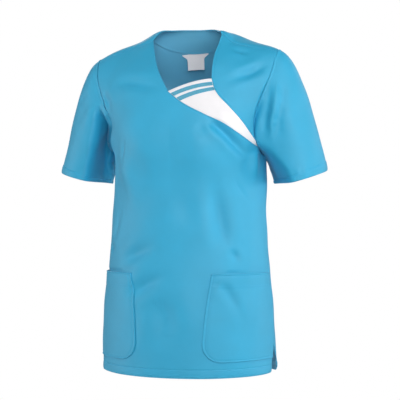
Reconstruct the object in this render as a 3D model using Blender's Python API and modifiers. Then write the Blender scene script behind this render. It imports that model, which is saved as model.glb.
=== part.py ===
"""A short-sleeved scrub top, filled out as if it were worn, with no wearer inside.

Metres, +Z up. The front faces -Y, and +X is the wearer's left. The origin lies between the two
neck points, where the shoulder seams start, so the garment hangs below it.

The torso is two smooth sheets, front and back. Each sheet is a set of sections, one for each row
of its table, and a point on a sheet has two numbers: `across`, from -1 to 1 between its side
edges, and `up`, the height on the cloth above the hem. Every flat piece is a grid laid on a
sheet and thickened inwards. Neighbours stop SEAM_GAP apart.
"""

import math
from collections import namedtuple

import bmesh
import bpy
import numpy as np

# Cloth and seams
CLOTH = 0.0015  # wall of the body cloth
TRIM = 0.0010  # wall of ribbons, facing and label
SEAM_GAP = 0.0006  # at the outer faces, so that the inner ones are about 0.3 mm apart
SHOULDER_GAP = 0.0010  # wider at the outer faces, because the cloth bends over the seam
ARMHOLE_GAP = 0.0008
LAY_GAP = 0.0007  # under a piece that lies on another one
FACING_GAP = 0.0014  # wider, because the neck bends over it

# Points along the shared edges, the same on both sides of each seam
SIDE_SEAM_POINTS = 14
SHOULDER_POINTS = 6
INSERT_POINTS = 13
LEFT_NECK_POINTS = 7
RIGHT_NECK_POINTS = 8
BACK_NECK_POINTS = 13
ARMHOLE_POINTS = 18  # from the armpit to the shoulder tip
FACING_ROWS = 4
SLEEVE_RINGS = 9
POCKET_COLUMNS = 10

# Heights on the cloth, from the hem
SLIT_TOP = 0.072  # the side seams are open below this
SLIT_BACK_OUT = 0.004  # how far the back stands out at the foot of a slit
SLIT_FRONT_IN = 0.001
SLIT_PART = 0.040  # how far across the front edge draws back there
ARMPIT = 0.450
FRONT_SHOULDER = 0.705  # shoulder seam, measured up the front
BACK_SHOULDER = 0.760  # shoulder seam, measured up the back
BACK_NECK = 0.712  # middle of the back neckline
BACK_NECK_CURVE = 2.6  # the power of its rise: flat in the middle, steep at the neck points
BACK_WAIST_ROWS = 0.57  # up to here the rows of the back are level

NECK_POINT = 0.076  # x where a shoulder seam meets the neckline
SHOULDER_TILT = 0.004  # the left shoulder sits this much above the level, the right below

# The side edge of a section is the side seam up to ARMPIT, and the armhole from there to the
# shoulder tip. Turn is how far, in degrees, the cloth turns from the middle to the side edge.
Section = namedtuple("Section", "up mid_y mid_z side_x side_y side_z turn")
FRONT = [
    Section(0.000, -0.138, -0.695, 0.184, 0.000, -0.691, 90),
    Section(0.072, -0.136, -0.623, 0.184, 0.000, -0.621, 90),
    Section(0.150, -0.132, -0.545, 0.1795, 0.000, -0.544, 90),
    Section(0.210, -0.126, -0.485, 0.1725, 0.001, -0.485, 90),
    Section(0.290, -0.118, -0.405, 0.167, 0.004, -0.405, 90),
    Section(0.360, -0.114, -0.335, 0.1645, 0.010, -0.335, 90),
    Section(0.410, -0.115, -0.285, 0.1635, 0.016, -0.290, 90),
    Section(0.450, -0.118, -0.245, 0.163, 0.016, -0.252, 88),
    Section(0.480, -0.120, -0.215, 0.161, -0.032, -0.226, 74),
    Section(0.520, -0.116, -0.175, 0.160, -0.054, -0.186, 64),
    Section(0.572, -0.102, -0.123, 0.172, -0.054, -0.138, 52),
    Section(0.637, -0.070, -0.062, 0.189, -0.038, -0.084, 36),
    Section(0.690, -0.021, -0.007, 0.1955, -0.0205, -0.0465, 24),
    Section(0.705, -0.010, 0.003, 0.197, -0.014, -0.040, 20),
]
BACK = [
    Section(0.000, 0.140, -0.695, 0.184, 0.000, -0.691, 90),
    Section(0.072, 0.138, -0.623, 0.184, 0.000, -0.621, 90),
    Section(0.150, 0.134, -0.545, 0.1795, 0.000, -0.544, 90),
    Section(0.210, 0.127, -0.485, 0.1725, 0.001, -0.485, 90),
    Section(0.290, 0.115, -0.405, 0.167, 0.004, -0.405, 90),
    Section(0.360, 0.110, -0.335, 0.1645, 0.010, -0.335, 90),
    Section(0.410, 0.114, -0.285, 0.1635, 0.016, -0.290, 90),
    Section(0.450, 0.119, -0.242, 0.163, 0.016, -0.252, 88),
    Section(0.484, 0.120, -0.208, 0.163, 0.054, -0.226, 72),
    Section(0.530, 0.116, -0.160, 0.166, 0.071, -0.186, 62),
    Section(0.590, 0.102, -0.100, 0.175, 0.069, -0.138, 52),
    Section(0.650, 0.078, -0.042, 0.186, 0.055, -0.092, 44),
    Section(0.690, 0.057, -0.004, 0.191, 0.038, -0.063, 38),
    Section(0.712, 0.046, 0.022, 0.194, 0.023, -0.046, 33),
    Section(0.735, 0.022, 0.021, 0.196, 0.006, -0.034, 27),
    Section(0.750, -0.002, 0.010, 0.1965, -0.0075, -0.0358, 23),
    Section(0.760, -0.010, 0.003, 0.197, -0.014, -0.040, 20),
]

# Fullness let into the front by its darts, one on each side
Fullness = namedtuple("Fullness", "x z wide tall out")
BUST = Fullness(x=0.080, z=-0.232, wide=0.060, tall=0.062, out=0.015)

# Cut edges of the front, seen from the front, from the neck down to the armhole
EdgePoint = namedtuple("EdgePoint", "x z")
RIGHT_NECK_EDGE = [
    EdgePoint(-0.076, -0.003),
    EdgePoint(-0.060, -0.035),
    EdgePoint(-0.045, -0.064),
    EdgePoint(-0.011, -0.1165),
]
INSERT_SEAM = [
    EdgePoint(-0.011, -0.1165),
    EdgePoint(0.020, -0.139),
    EdgePoint(0.067, -0.1635),
    EdgePoint(0.101, -0.180),
    EdgePoint(0.133, -0.2045),
    EdgePoint(0.161, -0.230),
]
INSERT_TOP = EdgePoint(0.0755, -0.089)
LEFT_FRONT_EDGE = [
    EdgePoint(0.076, -0.003),
    EdgePoint(0.072, -0.028),
    INSERT_TOP,
    EdgePoint(0.084, -0.112),
    EdgePoint(0.116, -0.151),
    EdgePoint(0.138, -0.179),
    EdgePoint(0.1585, -0.216),
]
INSERT_BOW = 0.004  # how far the stripes arch upwards
RIBBON_END = 0.012  # a ribbon stops this share of its length short of the seams

# Ribbons on the insert, by their distance down its two edges from its top
Ribbon = namedtuple("Ribbon", "name right_start right_end left_start left_end")
RIBBONS = [
    Ribbon("ribbon_upper", 0.0087, 0.0180, 0.0081, 0.0158),
    Ribbon("ribbon_lower", 0.0239, 0.0344, 0.0192, 0.0267),
]

# Sleeves
CUFF_X = 0.238
CUFF_Y = 0.020
CUFF_Z = -0.2925
CUFF_HALF_WIDTH = 0.055
CUFF_HALF_DEPTH = 0.060
CUFF_LEAN = math.radians(15)  # the cuff faces down and outwards
LEAVE_SLOPE = math.radians(18)  # how steeply a sleeve leaves the armhole
LEAVE_REACH = 0.54  # how long it keeps that slope, as a share of its length
ARRIVE_SLOPE = math.radians(76)  # how steeply it comes down to the cuff

# Pockets
POCKET_TOP = -0.487
POCKET_BOTTOM = -0.6625
POCKET_INNER_TOP = 0.085  # x of the inner edge at the mouth
POCKET_INNER_BOTTOM = 0.069  # x of the inner edge if it ran down to the bottom
POCKET_EASE = 1.6  # the power of its curve: steep low down, slanting out near the mouth
POCKET_CORNER = 0.038
POCKET_OUTER = 0.985  # across, close to the side seam

# Back-neck facing and label
FACING_DEPTH = 0.041
FACING_END_DEPTH = 0.026
LABEL_X = -0.006  # it sits a little to the right of the middle
LABEL_HEIGHT = 0.036
LABEL_TOP_HALF = 0.027
LABEL_HALF = 0.017
LABEL_STRAIGHT = 0.55  # share of its height below the flare
LABEL_BELOW_FACING = 0.001

# Colours and finish
BLUE = (0.075, 0.45, 0.69)
BLUE_RIBBON = (0.11, 0.41, 0.56)
WHITE = (0.94, 0.93, 0.95)
LABEL_WHITE = (0.80, 0.79, 0.80)
CLOTH_ROUGHNESS = 0.85


def spline(knots, values, at):
    """A smooth curve through the values of a table's column."""
    knots = np.asarray(knots, dtype=float)
    values = np.asarray(values, dtype=float)
    slopes = np.gradient(values, knots)
    at = np.clip(at, knots[0], knots[-1])
    i = np.clip(np.searchsorted(knots, at) - 1, 0, len(knots) - 2)
    width = knots[i + 1] - knots[i]
    f = (at - knots[i]) / width
    start = values[i] * (1 + 2 * f) * (1 - f) ** 2 + slopes[i] * width * f * (1 - f) ** 2
    end = values[i + 1] * f**2 * (3 - 2 * f) + slopes[i + 1] * width * f**2 * (f - 1)
    return start + end


def column(sections, name, up):
    """One column of a section table, at any height on the cloth.

    The side edge turns a corner at the armpit, where the side seam ends and the armhole starts.
    """
    up = np.asarray(up, dtype=float)
    if name in ("mid_y", "mid_z"):
        return spline([row.up for row in sections], [getattr(row, name) for row in sections], up)
    seam = [row for row in sections if row.up <= ARMPIT]
    hole = [row for row in sections if row.up >= ARMPIT]
    low = spline([row.up for row in seam], [getattr(row, name) for row in seam], up)
    high = spline([row.up for row in hole], [getattr(row, name) for row in hole], up)
    return np.where(up <= ARMPIT, low, high)


def surface(sections, across, up):
    """Points on a sheet, before any lift."""
    across, up = np.broadcast_arrays(np.asarray(across, dtype=float), up)
    turn = np.radians(column(sections, "turn", up))
    side_x = column(sections, "side_x", up)
    side_y = column(sections, "side_y", up)
    side_z = column(sections, "side_z", up)
    rise = (np.cos(across * turn) - np.cos(turn)) / (1 - np.cos(turn))
    x = side_x * np.sin(across * turn) / np.sin(turn)
    y = side_y + (column(sections, "mid_y", up) - side_y) * rise
    z = side_z + (column(sections, "mid_z", up) - side_z) * rise
    above_armpit = (up - ARMPIT) / (sections[-1].up - ARMPIT)
    z = z + SHOULDER_TILT * across * smoothstep(above_armpit)
    spread = SLIT_BACK_OUT if sections is BACK else -SLIT_FRONT_IN
    x = x + spread * np.sign(across) * across**6 * smoothstep(1 - up / SLIT_TOP)
    if sections is FRONT:
        near_x = (np.abs(x) - BUST.x) / BUST.wide
        near_z = (z - BUST.z) / BUST.tall
        y = y - BUST.out * np.exp(-(near_x**2) - near_z**2) * (1 - across**4)
    return np.stack([x, y, z], axis=-1)


def torso(sections, across, up, lift=0.0):
    """Points on a sheet, moved out along its normal by lift."""
    points = surface(sections, across, up)
    if np.all(np.asarray(lift) == 0):
        return points
    step = 0.002
    sideways = surface(sections, across + step, up) - surface(sections, across - step, up)
    upwards = surface(sections, across, up + step) - surface(sections, across, up - step)
    normal = np.cross(sideways, upwards)
    normal /= np.linalg.norm(normal, axis=-1, keepdims=True)
    if sections is BACK:
        normal = -normal
    return points + normal * lift


def locate(sections, x, z):
    """The across and up of the point of a sheet that is seen at x, z, by small steps nearer."""
    x = np.asarray(x, dtype=float)
    z = np.asarray(z, dtype=float)
    top = sections[-1]
    across = x / top.side_x
    up = z + top.up
    steps, across_per_metre, up_per_metre = 80, 3.5, 0.7
    for _ in range(steps):
        miss = np.stack([x, z], axis=-1) - surface(sections, across, up)[..., [0, 2]]
        across = np.clip(across + across_per_metre * miss[..., 0], -1, 1)
        up = np.clip(up + up_per_metre * miss[..., 1], 0, top.up)
    return across, up


def edge_line(edge, count):
    """A cut edge of the front as evenly spaced points: across and up."""
    x = np.array([point.x for point in edge])
    z = np.array([point.z for point in edge])
    run = np.concatenate([[0], np.cumsum(np.hypot(np.diff(x), np.diff(z)))])
    at = np.linspace(0, run[-1], count)
    return locate(FRONT, spline(run, x, at), spline(run, z, at))


def smoothstep(x):
    x = np.clip(x, 0, 1)
    return x * x * (3 - 2 * x)


# Building


def make_material(name, colour):
    material = bpy.data.materials.new(name)
    material.use_nodes = True
    shader = material.node_tree.nodes["Principled BSDF"]
    shader.inputs["Base Color"].default_value = (*colour, 1)
    shader.inputs["Roughness"].default_value = CLOTH_ROUGHNESS
    shader.inputs["Metallic"].default_value = 0.0
    return material


def sew(name, points, colour, wall, outward=True, closed=False):
    """A piece of cloth from a table of points: rows up the piece, columns across it."""
    rows, columns = points.shape[:2]
    bm = bmesh.new()
    bmesh.ops.create_grid(bm, x_segments=columns - 1, y_segments=rows - 1, size=0.5)
    for vert in bm.verts:
        i = round((vert.co.x + 0.5) * (columns - 1))
        j = round((vert.co.y + 0.5) * (rows - 1))
        vert.co = points[j, i]
    if closed:
        bmesh.ops.remove_doubles(bm, verts=bm.verts, dist=1e-6)
    if not outward:
        bmesh.ops.reverse_faces(bm, faces=bm.faces)
    mesh = bpy.data.meshes.new(name)
    bm.to_mesh(mesh)
    bm.free()
    mesh.shade_smooth()
    piece = bpy.data.objects.new(name, mesh)
    piece.data.materials.append(make_material(name + "_cloth", colour))
    garment.objects.link(piece)
    thickness = piece.modifiers.new("Wall", "SOLIDIFY")
    thickness.thickness = wall
    thickness.offset = -1
    thickness.use_even_offset = True
    return piece


def rows_up(*marks):
    """Heights for each column of a panel: the points of the side seam, then on from mark to mark.

    A mark is the number of rows to the next height, and that height for each column.
    """
    seam = np.linspace(0, ARMPIT, SIDE_SEAM_POINTS)[:, None]
    rows = [np.repeat(seam, len(marks[-1][1]), axis=1)]
    for count, height in marks:
        start = rows[-1][-1]
        rows.append(start + np.linspace(0, 1, count + 1)[1:, None] * (height - start))
    return np.vstack(rows)


def side_limit(up):
    """How far across a front panel reaches: a little less where the side seam is open."""
    gap = SEAM_GAP / 2 / column(FRONT, "side_x", up)
    opening = SLIT_PART * smoothstep(1 - up / SLIT_TOP)
    return 1 - gap - opening


def back_neckline(across):
    """Height of the back neckline on the cloth."""
    part = np.clip(np.abs(across) / NECK_ACROSS, 0, 1)
    return BACK_NECK + (BACK_SHOULDER - BACK_NECK) * part**BACK_NECK_CURVE


def insert_edges():
    """The insert's two edges, from its top to its tip at the armhole: across and up of each."""
    right_across, right_up = edge_line(INSERT_SEAM, INSERT_POINTS)
    right_across[-1] = 1
    left = LEFT_FRONT_EDGE[LEFT_FRONT_EDGE.index(INSERT_TOP) :]
    left_across, left_up = edge_line(left, INSERT_POINTS)
    return right_across, right_up, left_across, left_up


def make_front_main():
    """The right front and the whole front below the insert, in one piece."""
    shoulder = np.linspace(-1, -NECK_ACROSS, SHOULDER_POINTS)
    neck_across, neck_up = edge_line(RIGHT_NECK_EDGE, RIGHT_NECK_POINTS)
    seam_across, seam_up, _, _ = insert_edges()
    across = np.concatenate([shoulder[:-1], neck_across[:-1], seam_across])
    top = np.full(SHOULDER_POINTS - 1, FRONT_SHOULDER - SHOULDER_GAP / 2)
    top = np.concatenate([top, neck_up[:-1], seam_up - SEAM_GAP])
    up = rows_up((9, top))
    points = torso(FRONT, across[None, :] * side_limit(up), up)
    sew("front_main", points, BLUE, CLOTH)
    return points


def make_front_left():
    """The left chest, from the shoulder to a point at the armhole."""
    neck = LEFT_FRONT_EDGE[: LEFT_FRONT_EDGE.index(INSERT_TOP) + 1]
    neck_across, neck_up = edge_line(neck, LEFT_NECK_POINTS)
    _, _, left_across, left_up = insert_edges()
    edge_across = np.concatenate([neck_across[:-1], left_across])[::-1, None]
    up = np.concatenate([neck_up[:-1], left_up])[::-1, None]
    up[-1] = FRONT_SHOULDER - SHOULDER_GAP / 2
    edge_across = edge_across + SEAM_GAP / column(FRONT, "side_x", up)
    limit = side_limit(up)
    part = np.linspace(0, 1, SHOULDER_POINTS)[None, :]
    across = edge_across + part * (limit - edge_across)
    points = torso(FRONT, across, up)
    sew("front_left", points, BLUE, CLOTH)
    return points


def on_insert(right_part, left_part, between):
    """across and up on the insert: how far down its two edges, from 0 to 1, and between them."""
    right_across, right_up, left_across, left_up = insert_edges()
    steps = np.linspace(0, 1, INSERT_POINTS)
    right_at = [np.interp(right_part, steps, line) for line in (right_across, right_up)]
    left_at = [np.interp(left_part, steps, line) for line in (left_across, left_up)]
    across = right_at[0] + (left_at[0] - right_at[0]) * between
    up = right_at[1] + (left_at[1] - right_at[1]) * between
    bow = INSERT_BOW * (1 - right_part) ** 2 * 4 * between * (1 - between)
    return across, up + bow


def make_insert():
    """The white insert between the two fronts, and the ribbons that lie on it."""
    down = np.linspace(1, 0, INSERT_POINTS)[:, None]
    between = np.linspace(0, 1, 7)[None, :]
    across, up = on_insert(down, down, between)
    across = np.minimum(across, side_limit(up))
    points = torso(FRONT, across, up)
    sew("insert", points, WHITE, CLOTH)
    edges = [points[:, 0], points[:, -1]]
    lengths = [np.sum(np.linalg.norm(np.diff(edge, axis=0), axis=1)) for edge in edges]
    for ribbon in RIBBONS:
        right = np.linspace(ribbon.right_end, ribbon.right_start, 3)[:, None] / lengths[0]
        left = np.linspace(ribbon.left_end, ribbon.left_start, 3)[:, None] / lengths[1]
        between = np.linspace(RIBBON_END, 1 - RIBBON_END, 13)[None, :]
        across, up = on_insert(right, left, between)
        sew(ribbon.name, torso(FRONT, across, up, LAY_GAP + TRIM), BLUE_RIBBON, TRIM)
    return points


def facing_depth(across):
    """How deep the back-neck facing is: deepest at the middle."""
    part = np.clip(np.abs(across) / NECK_ACROSS, 0, 1)
    return FACING_DEPTH + (FACING_END_DEPTH - FACING_DEPTH) * part**2


def back_lattice():
    """across for each column of the back, and up for each of its points.

    The last FACING_ROWS rows are those of the facing.
    """
    sides = np.linspace(-1, -NECK_ACROSS, SHOULDER_POINTS)
    neck = np.linspace(-NECK_ACROSS, NECK_ACROSS, BACK_NECK_POINTS)
    across = np.concatenate([sides[:-1], neck, -sides[-2::-1]])
    top = back_neckline(across) - SHOULDER_GAP / 2
    foot = top - facing_depth(across)
    level = np.full(len(across), BACK_WAIST_ROWS)
    return across, rows_up((3, level), (4, foot), (FACING_ROWS - 1, top))


def make_back():
    """The back, in one piece."""
    across, up = back_lattice()
    points = torso(BACK, across[None, :] * (1 - SEAM_GAP / 2 / column(BACK, "side_x", up)), up)
    sew("back", points, BLUE, CLOTH, outward=False)
    return points


def moved_in(points, distance):
    """The points of a piece of the back, moved in along the cloth's normals."""
    normal = np.cross(np.gradient(points, axis=1), np.gradient(points, axis=0))
    normal /= np.linalg.norm(normal, axis=-1, keepdims=True)
    return points + normal * distance


def make_facing_and_label(back):
    """The facing inside the back neck, and the label below it."""
    neck = slice(SHOULDER_POINTS - 1, SHOULDER_POINTS - 1 + BACK_NECK_POINTS)
    points = moved_in(back[-FACING_ROWS - 1 :, neck], CLOTH + FACING_GAP)[1:]
    sew("back_neck_facing", points, BLUE, TRIM, outward=False)

    top = BACK_NECK - FACING_DEPTH - LABEL_BELOW_FACING
    fraction = np.linspace(0, 1, 7)[:, None]
    flare = smoothstep((fraction - LABEL_STRAIGHT) / (1 - LABEL_STRAIGHT)) ** 2
    half = LABEL_HALF + (LABEL_TOP_HALF - LABEL_HALF) * flare
    side_x = column(BACK, "side_x", top)
    across = (LABEL_X + np.linspace(-1, 1, 6)[None, :] * half) / side_x
    up = top - LABEL_HEIGHT * (1 - fraction)
    points = torso(BACK, across, up, -(CLOTH + LAY_GAP))
    sew("label", points, LABEL_WHITE, TRIM, outward=False)


def make_pocket(name, side):
    """A patch pocket that runs into the side seam, with its inner lower corner rounded."""
    angles = np.linspace(0, math.pi / 2, 5)
    corner = POCKET_CORNER * (1 - np.cos(angles))
    straight = np.linspace(POCKET_CORNER, POCKET_TOP - POCKET_BOTTOM, 7)[1:]
    height = np.concatenate([corner, straight])
    part = height / (POCKET_TOP - POCKET_BOTTOM)
    inner = POCKET_INNER_BOTTOM + (POCKET_INNER_TOP - POCKET_INNER_BOTTOM) * part**POCKET_EASE
    inner[: len(angles)] += POCKET_CORNER * (1 - np.sin(angles))
    inner_across, inner_up = locate(FRONT, inner, POCKET_BOTTOM + height)
    columns = np.linspace(0, 1, POCKET_COLUMNS)[None, :]
    across = inner_across[:, None] + columns * (POCKET_OUTER - inner_across[:, None])
    up = np.repeat(inner_up[:, None], POCKET_COLUMNS, axis=1)
    points = torso(FRONT, side * across, up, LAY_GAP + CLOTH)
    sew(name, points, BLUE, CLOTH, outward=side > 0)


def even_points(edges, count):
    """Evenly spaced points along edges that follow each other."""
    line = np.vstack(edges)
    run = np.concatenate([[0], np.cumsum(np.linalg.norm(np.diff(line, axis=0), axis=1))])
    at = np.linspace(0, run[-1], count + 1)
    return np.stack([np.interp(at, run, line[:, axis]) for axis in range(3)], axis=1)


def armhole(side, panels):
    """The armhole from the armpit up the back, over the shoulder and down the front."""
    above = slice(SIDE_SEAM_POINTS - 1, None)
    edge = -1 if side > 0 else 0
    back = panels["back"][above, edge]
    front = [panels["front_main"][above, edge]]
    if side > 0:
        front += [panels["insert"][:1, -1], panels["front_left"][:, edge]]
    back = even_points([back], ARMHOLE_POINTS)
    front = even_points(front, ARMHOLE_POINTS)
    middle_of_seam = (back[[0, -1]] + front[[0, -1]]) / 2
    back[[0, -1]] = middle_of_seam
    front[[0, -1]] = middle_of_seam
    return np.vstack([back, front[-2::-1]])


def make_sleeve(name, side, panels):
    """A short sleeve, lofted from the armhole to the cuff and closed under the arm."""
    top = armhole(side, panels)
    count = len(top) - 1
    angle = math.pi * (np.linspace(0, 2, count + 1) - 1)
    outwards = np.array([side * math.cos(CUFF_LEAN), 0, math.sin(CUFF_LEAN)])
    forwards = np.array([0, -1, 0])
    centre = np.array([side * CUFF_X, CUFF_Y, CUFF_Z])
    cuff = centre + CUFF_HALF_WIDTH * np.cos(angle)[:, None] * outwards
    cuff += CUFF_HALF_DEPTH * np.sin(angle)[:, None] * forwards
    length = np.linalg.norm(cuff - top, axis=1)[:, None]
    leave = np.array([side * math.cos(LEAVE_SLOPE), 0, -math.sin(LEAVE_SLOPE)])
    leave = LEAVE_REACH * length * leave
    arrive = np.array([side * math.cos(ARRIVE_SLOPE), 0, -math.sin(ARRIVE_SLOPE)])
    arrive = length * arrive
    top = top + ARMHOLE_GAP * leave / np.linalg.norm(leave, axis=1)[:, None]
    rings = []
    for f in np.linspace(0, 1, SLEEVE_RINGS):
        ring = top * (1 + 2 * f) * (1 - f) ** 2 + leave * f * (1 - f) ** 2
        ring += cuff * f**2 * (3 - 2 * f) + arrive * f**2 * (f - 1)
        rings.append(ring)
    sew(name, np.array(rings), BLUE, CLOTH, outward=side > 0, closed=True)


for thing in list(bpy.data.objects):
    bpy.data.objects.remove(thing, do_unlink=True)
garment = bpy.data.collections.new("scrub_top")
bpy.context.scene.collection.children.link(garment)
NECK_ACROSS = float(locate(FRONT, NECK_POINT, 0.0)[0])

panels = {
    "front_main": make_front_main(),
    "front_left": make_front_left(),
    "insert": make_insert(),
    "back": make_back(),
}
make_facing_and_label(panels["back"])
make_pocket("pocket_right", -1)
make_pocket("pocket_left", 1)
make_sleeve("sleeve_right", -1, panels)
make_sleeve("sleeve_left", 1, panels)
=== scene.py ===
# %% [markdown]
# # A scrub top, filled out as if worn
# A scrub top is cut flat from twill and sewn into a hollow garment. Here it hangs in the air with
# nobody in it, as shops photograph clothes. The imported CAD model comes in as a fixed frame, and
# each piece of cloth made here stands in the place of one CAD piece.

# %% Load the frame
import math
from collections import namedtuple

import bpy
import numpy as np
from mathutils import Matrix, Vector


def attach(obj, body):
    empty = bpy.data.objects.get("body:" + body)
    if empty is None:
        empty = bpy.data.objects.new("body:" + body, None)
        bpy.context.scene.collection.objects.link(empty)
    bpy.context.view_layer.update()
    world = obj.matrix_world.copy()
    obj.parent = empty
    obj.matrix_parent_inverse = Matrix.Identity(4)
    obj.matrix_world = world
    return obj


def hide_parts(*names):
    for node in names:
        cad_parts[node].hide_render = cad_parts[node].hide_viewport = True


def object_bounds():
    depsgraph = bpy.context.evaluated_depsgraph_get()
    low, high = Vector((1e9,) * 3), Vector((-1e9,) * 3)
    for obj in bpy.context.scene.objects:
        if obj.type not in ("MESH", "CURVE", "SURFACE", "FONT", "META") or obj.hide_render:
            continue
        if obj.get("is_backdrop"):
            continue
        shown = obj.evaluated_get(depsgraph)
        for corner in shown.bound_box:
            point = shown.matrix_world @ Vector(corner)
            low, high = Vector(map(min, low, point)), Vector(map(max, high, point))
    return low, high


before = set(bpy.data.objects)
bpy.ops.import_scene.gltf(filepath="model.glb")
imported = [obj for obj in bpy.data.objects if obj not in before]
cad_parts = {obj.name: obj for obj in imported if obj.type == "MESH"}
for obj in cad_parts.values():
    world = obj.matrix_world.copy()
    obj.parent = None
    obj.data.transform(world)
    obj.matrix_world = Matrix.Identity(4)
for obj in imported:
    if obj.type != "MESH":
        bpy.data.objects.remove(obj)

cad_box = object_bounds()
print("CAD pieces:", sorted(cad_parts))

# %% [markdown]
# The photograph was taken level, a little from the wearer's left. A long lens far away keeps the
# garment's proportions. Soft light comes from large lamps, since small lamps would draw hard
# shadows that matt cloth in a studio doesn't show.

# %% Camera
LOOK_FROM = math.radians(18)  # towards the wearer's left
DISTANCE = 2.8
EYE_HEIGHT = -0.338
ASIDE = 0.0242

scene = bpy.context.scene
camera = bpy.data.objects.new("camera", bpy.data.cameras.new("camera"))
scene.collection.objects.link(camera)
camera.data.lens = 120
camera.data.sensor_width = 36
towards = np.array([math.sin(LOOK_FROM), -math.cos(LOOK_FROM), 0])
rightwards = np.array([math.cos(LOOK_FROM), math.sin(LOOK_FROM), 0])
camera.location = DISTANCE * towards + ASIDE * rightwards + [0, 0, EYE_HEIGHT]
camera.rotation_euler = (math.radians(90), 0, LOOK_FROM)
scene.camera = camera
print("camera at", [round(v, 3) for v in camera.location])

# %% Lamps
Lamp = namedtuple("Lamp", "name azimuth elevation distance size power")
LAMPS = [
    Lamp("front", 18, 18, 1.9, 0.95, 11.6),
    Lamp("front_low", 18, -4, 1.9, 0.95, 4.2),
    Lamp("front_high", 18, 50, 1.9, 0.95, 5.5),
    Lamp("key", 52, 20, 1.9, 0.95, 13.5),
    Lamp("right_side", 104, 0, 3.2, 1.6, 40),
    Lamp("left_side", -72, 0, 3.2, 1.6, 40),
    Lamp("left_high", -60, 42, 1.9, 0.95, 3),
    Lamp("back_left", -150, 34, 3.0, 1.6, 26),
    Lamp("back_right", 145, 30, 3.0, 1.6, 16),
]
MIDDLE = np.array([0.0, 0.0, -0.33])
for lamp in LAMPS:
    light = bpy.data.lights.new(lamp.name, "AREA")
    light.shape = "DISK"
    light.size = lamp.size
    light.energy = lamp.power
    lamp_object = bpy.data.objects.new(lamp.name, light)
    scene.collection.objects.link(lamp_object)
    a, e = math.radians(lamp.azimuth), math.radians(lamp.elevation)
    away = np.array([math.sin(a) * math.cos(e), -math.cos(a) * math.cos(e), math.sin(e)])
    lamp_object.location = MIDDLE + lamp.distance * away
    lamp_object.rotation_euler = (math.radians(90) - e, 0, a)
print(len(LAMPS), "lamps")

# %% White surroundings
SURROUND = 0.05  # light that the white studio throws back

world = bpy.data.worlds.new("studio")
scene.world = world
world.use_nodes = True
nodes, links = world.node_tree.nodes, world.node_tree.links
nodes.clear()
world_out = nodes.new("ShaderNodeOutputWorld")
seen = nodes.new("ShaderNodeBackground")
thrown = nodes.new("ShaderNodeBackground")
seen.inputs["Strength"].default_value = 1.0
thrown.inputs["Strength"].default_value = SURROUND
for background in (seen, thrown):
    background.inputs["Color"].default_value = (1, 1, 1, 1)
ray = nodes.new("ShaderNodeLightPath")
choose = nodes.new("ShaderNodeMixShader")
links.new(ray.outputs["Is Camera Ray"], choose.inputs["Fac"])
links.new(thrown.outputs[0], choose.inputs[1])
links.new(seen.outputs[0], choose.inputs[2])
links.new(choose.outputs[0], world_out.inputs["Surface"])
scene.view_settings.view_transform = "Standard"
print("studio light", SURROUND)

# %% [markdown]
# The two sheets of the body are the garment's real worn shape. Each row of a table is one level
# of the cloth: where its middle is, where its side edge is, and how far the cloth turns between
# them. These are the same numbers that the solids were made from, so the cloth fits them.

# %% Table of the front
ARMPIT = 0.450
FRONT_SHOULDER = 0.705
BACK_SHOULDER = 0.760
SLIT_TOP = 0.072
SLIT_BACK_OUT = 0.004
SLIT_FRONT_IN = 0.001
SLIT_PART = 0.040
SHOULDER_TILT = 0.004
NECK_POINT = 0.076

Section = namedtuple("Section", "up mid_y mid_z side_x side_y side_z turn")
FRONT = [
    Section(0.000, -0.138, -0.695, 0.184, 0.000, -0.691, 90),
    Section(0.072, -0.136, -0.623, 0.184, 0.000, -0.621, 90),
    Section(0.150, -0.132, -0.545, 0.1795, 0.000, -0.544, 90),
    Section(0.210, -0.126, -0.485, 0.1725, 0.001, -0.485, 90),
    Section(0.290, -0.118, -0.405, 0.167, 0.004, -0.405, 90),
    Section(0.360, -0.114, -0.335, 0.1645, 0.010, -0.335, 90),
    Section(0.410, -0.115, -0.285, 0.1635, 0.016, -0.290, 90),
    Section(0.450, -0.118, -0.245, 0.163, 0.016, -0.252, 88),
    Section(0.480, -0.120, -0.215, 0.161, -0.032, -0.226, 74),
    Section(0.520, -0.116, -0.175, 0.160, -0.054, -0.186, 64),
    Section(0.572, -0.102, -0.123, 0.172, -0.054, -0.138, 52),
    Section(0.637, -0.070, -0.062, 0.189, -0.038, -0.084, 36),
    Section(0.690, -0.021, -0.007, 0.1955, -0.0205, -0.0465, 24),
    Section(0.705, -0.010, 0.003, 0.197, -0.014, -0.040, 20),
]
print("the front has", len(FRONT), "levels")

# %% Table of the back
BACK = [
    Section(0.000, 0.140, -0.695, 0.184, 0.000, -0.691, 90),
    Section(0.072, 0.138, -0.623, 0.184, 0.000, -0.621, 90),
    Section(0.150, 0.134, -0.545, 0.1795, 0.000, -0.544, 90),
    Section(0.210, 0.127, -0.485, 0.1725, 0.001, -0.485, 90),
    Section(0.290, 0.115, -0.405, 0.167, 0.004, -0.405, 90),
    Section(0.360, 0.110, -0.335, 0.1645, 0.010, -0.335, 90),
    Section(0.410, 0.114, -0.285, 0.1635, 0.016, -0.290, 90),
    Section(0.450, 0.119, -0.242, 0.163, 0.016, -0.252, 88),
    Section(0.484, 0.120, -0.208, 0.163, 0.054, -0.226, 72),
    Section(0.530, 0.116, -0.160, 0.166, 0.071, -0.186, 62),
    Section(0.590, 0.102, -0.100, 0.175, 0.069, -0.138, 52),
    Section(0.650, 0.078, -0.042, 0.186, 0.055, -0.092, 44),
    Section(0.690, 0.057, -0.004, 0.191, 0.038, -0.063, 38),
    Section(0.712, 0.046, 0.022, 0.194, 0.023, -0.046, 33),
    Section(0.735, 0.022, 0.021, 0.196, 0.006, -0.034, 27),
    Section(0.750, -0.002, 0.010, 0.1965, -0.0075, -0.0358, 23),
    Section(0.760, -0.010, 0.003, 0.197, -0.014, -0.040, 20),
]
print("the back has", len(BACK), "levels")


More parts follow.
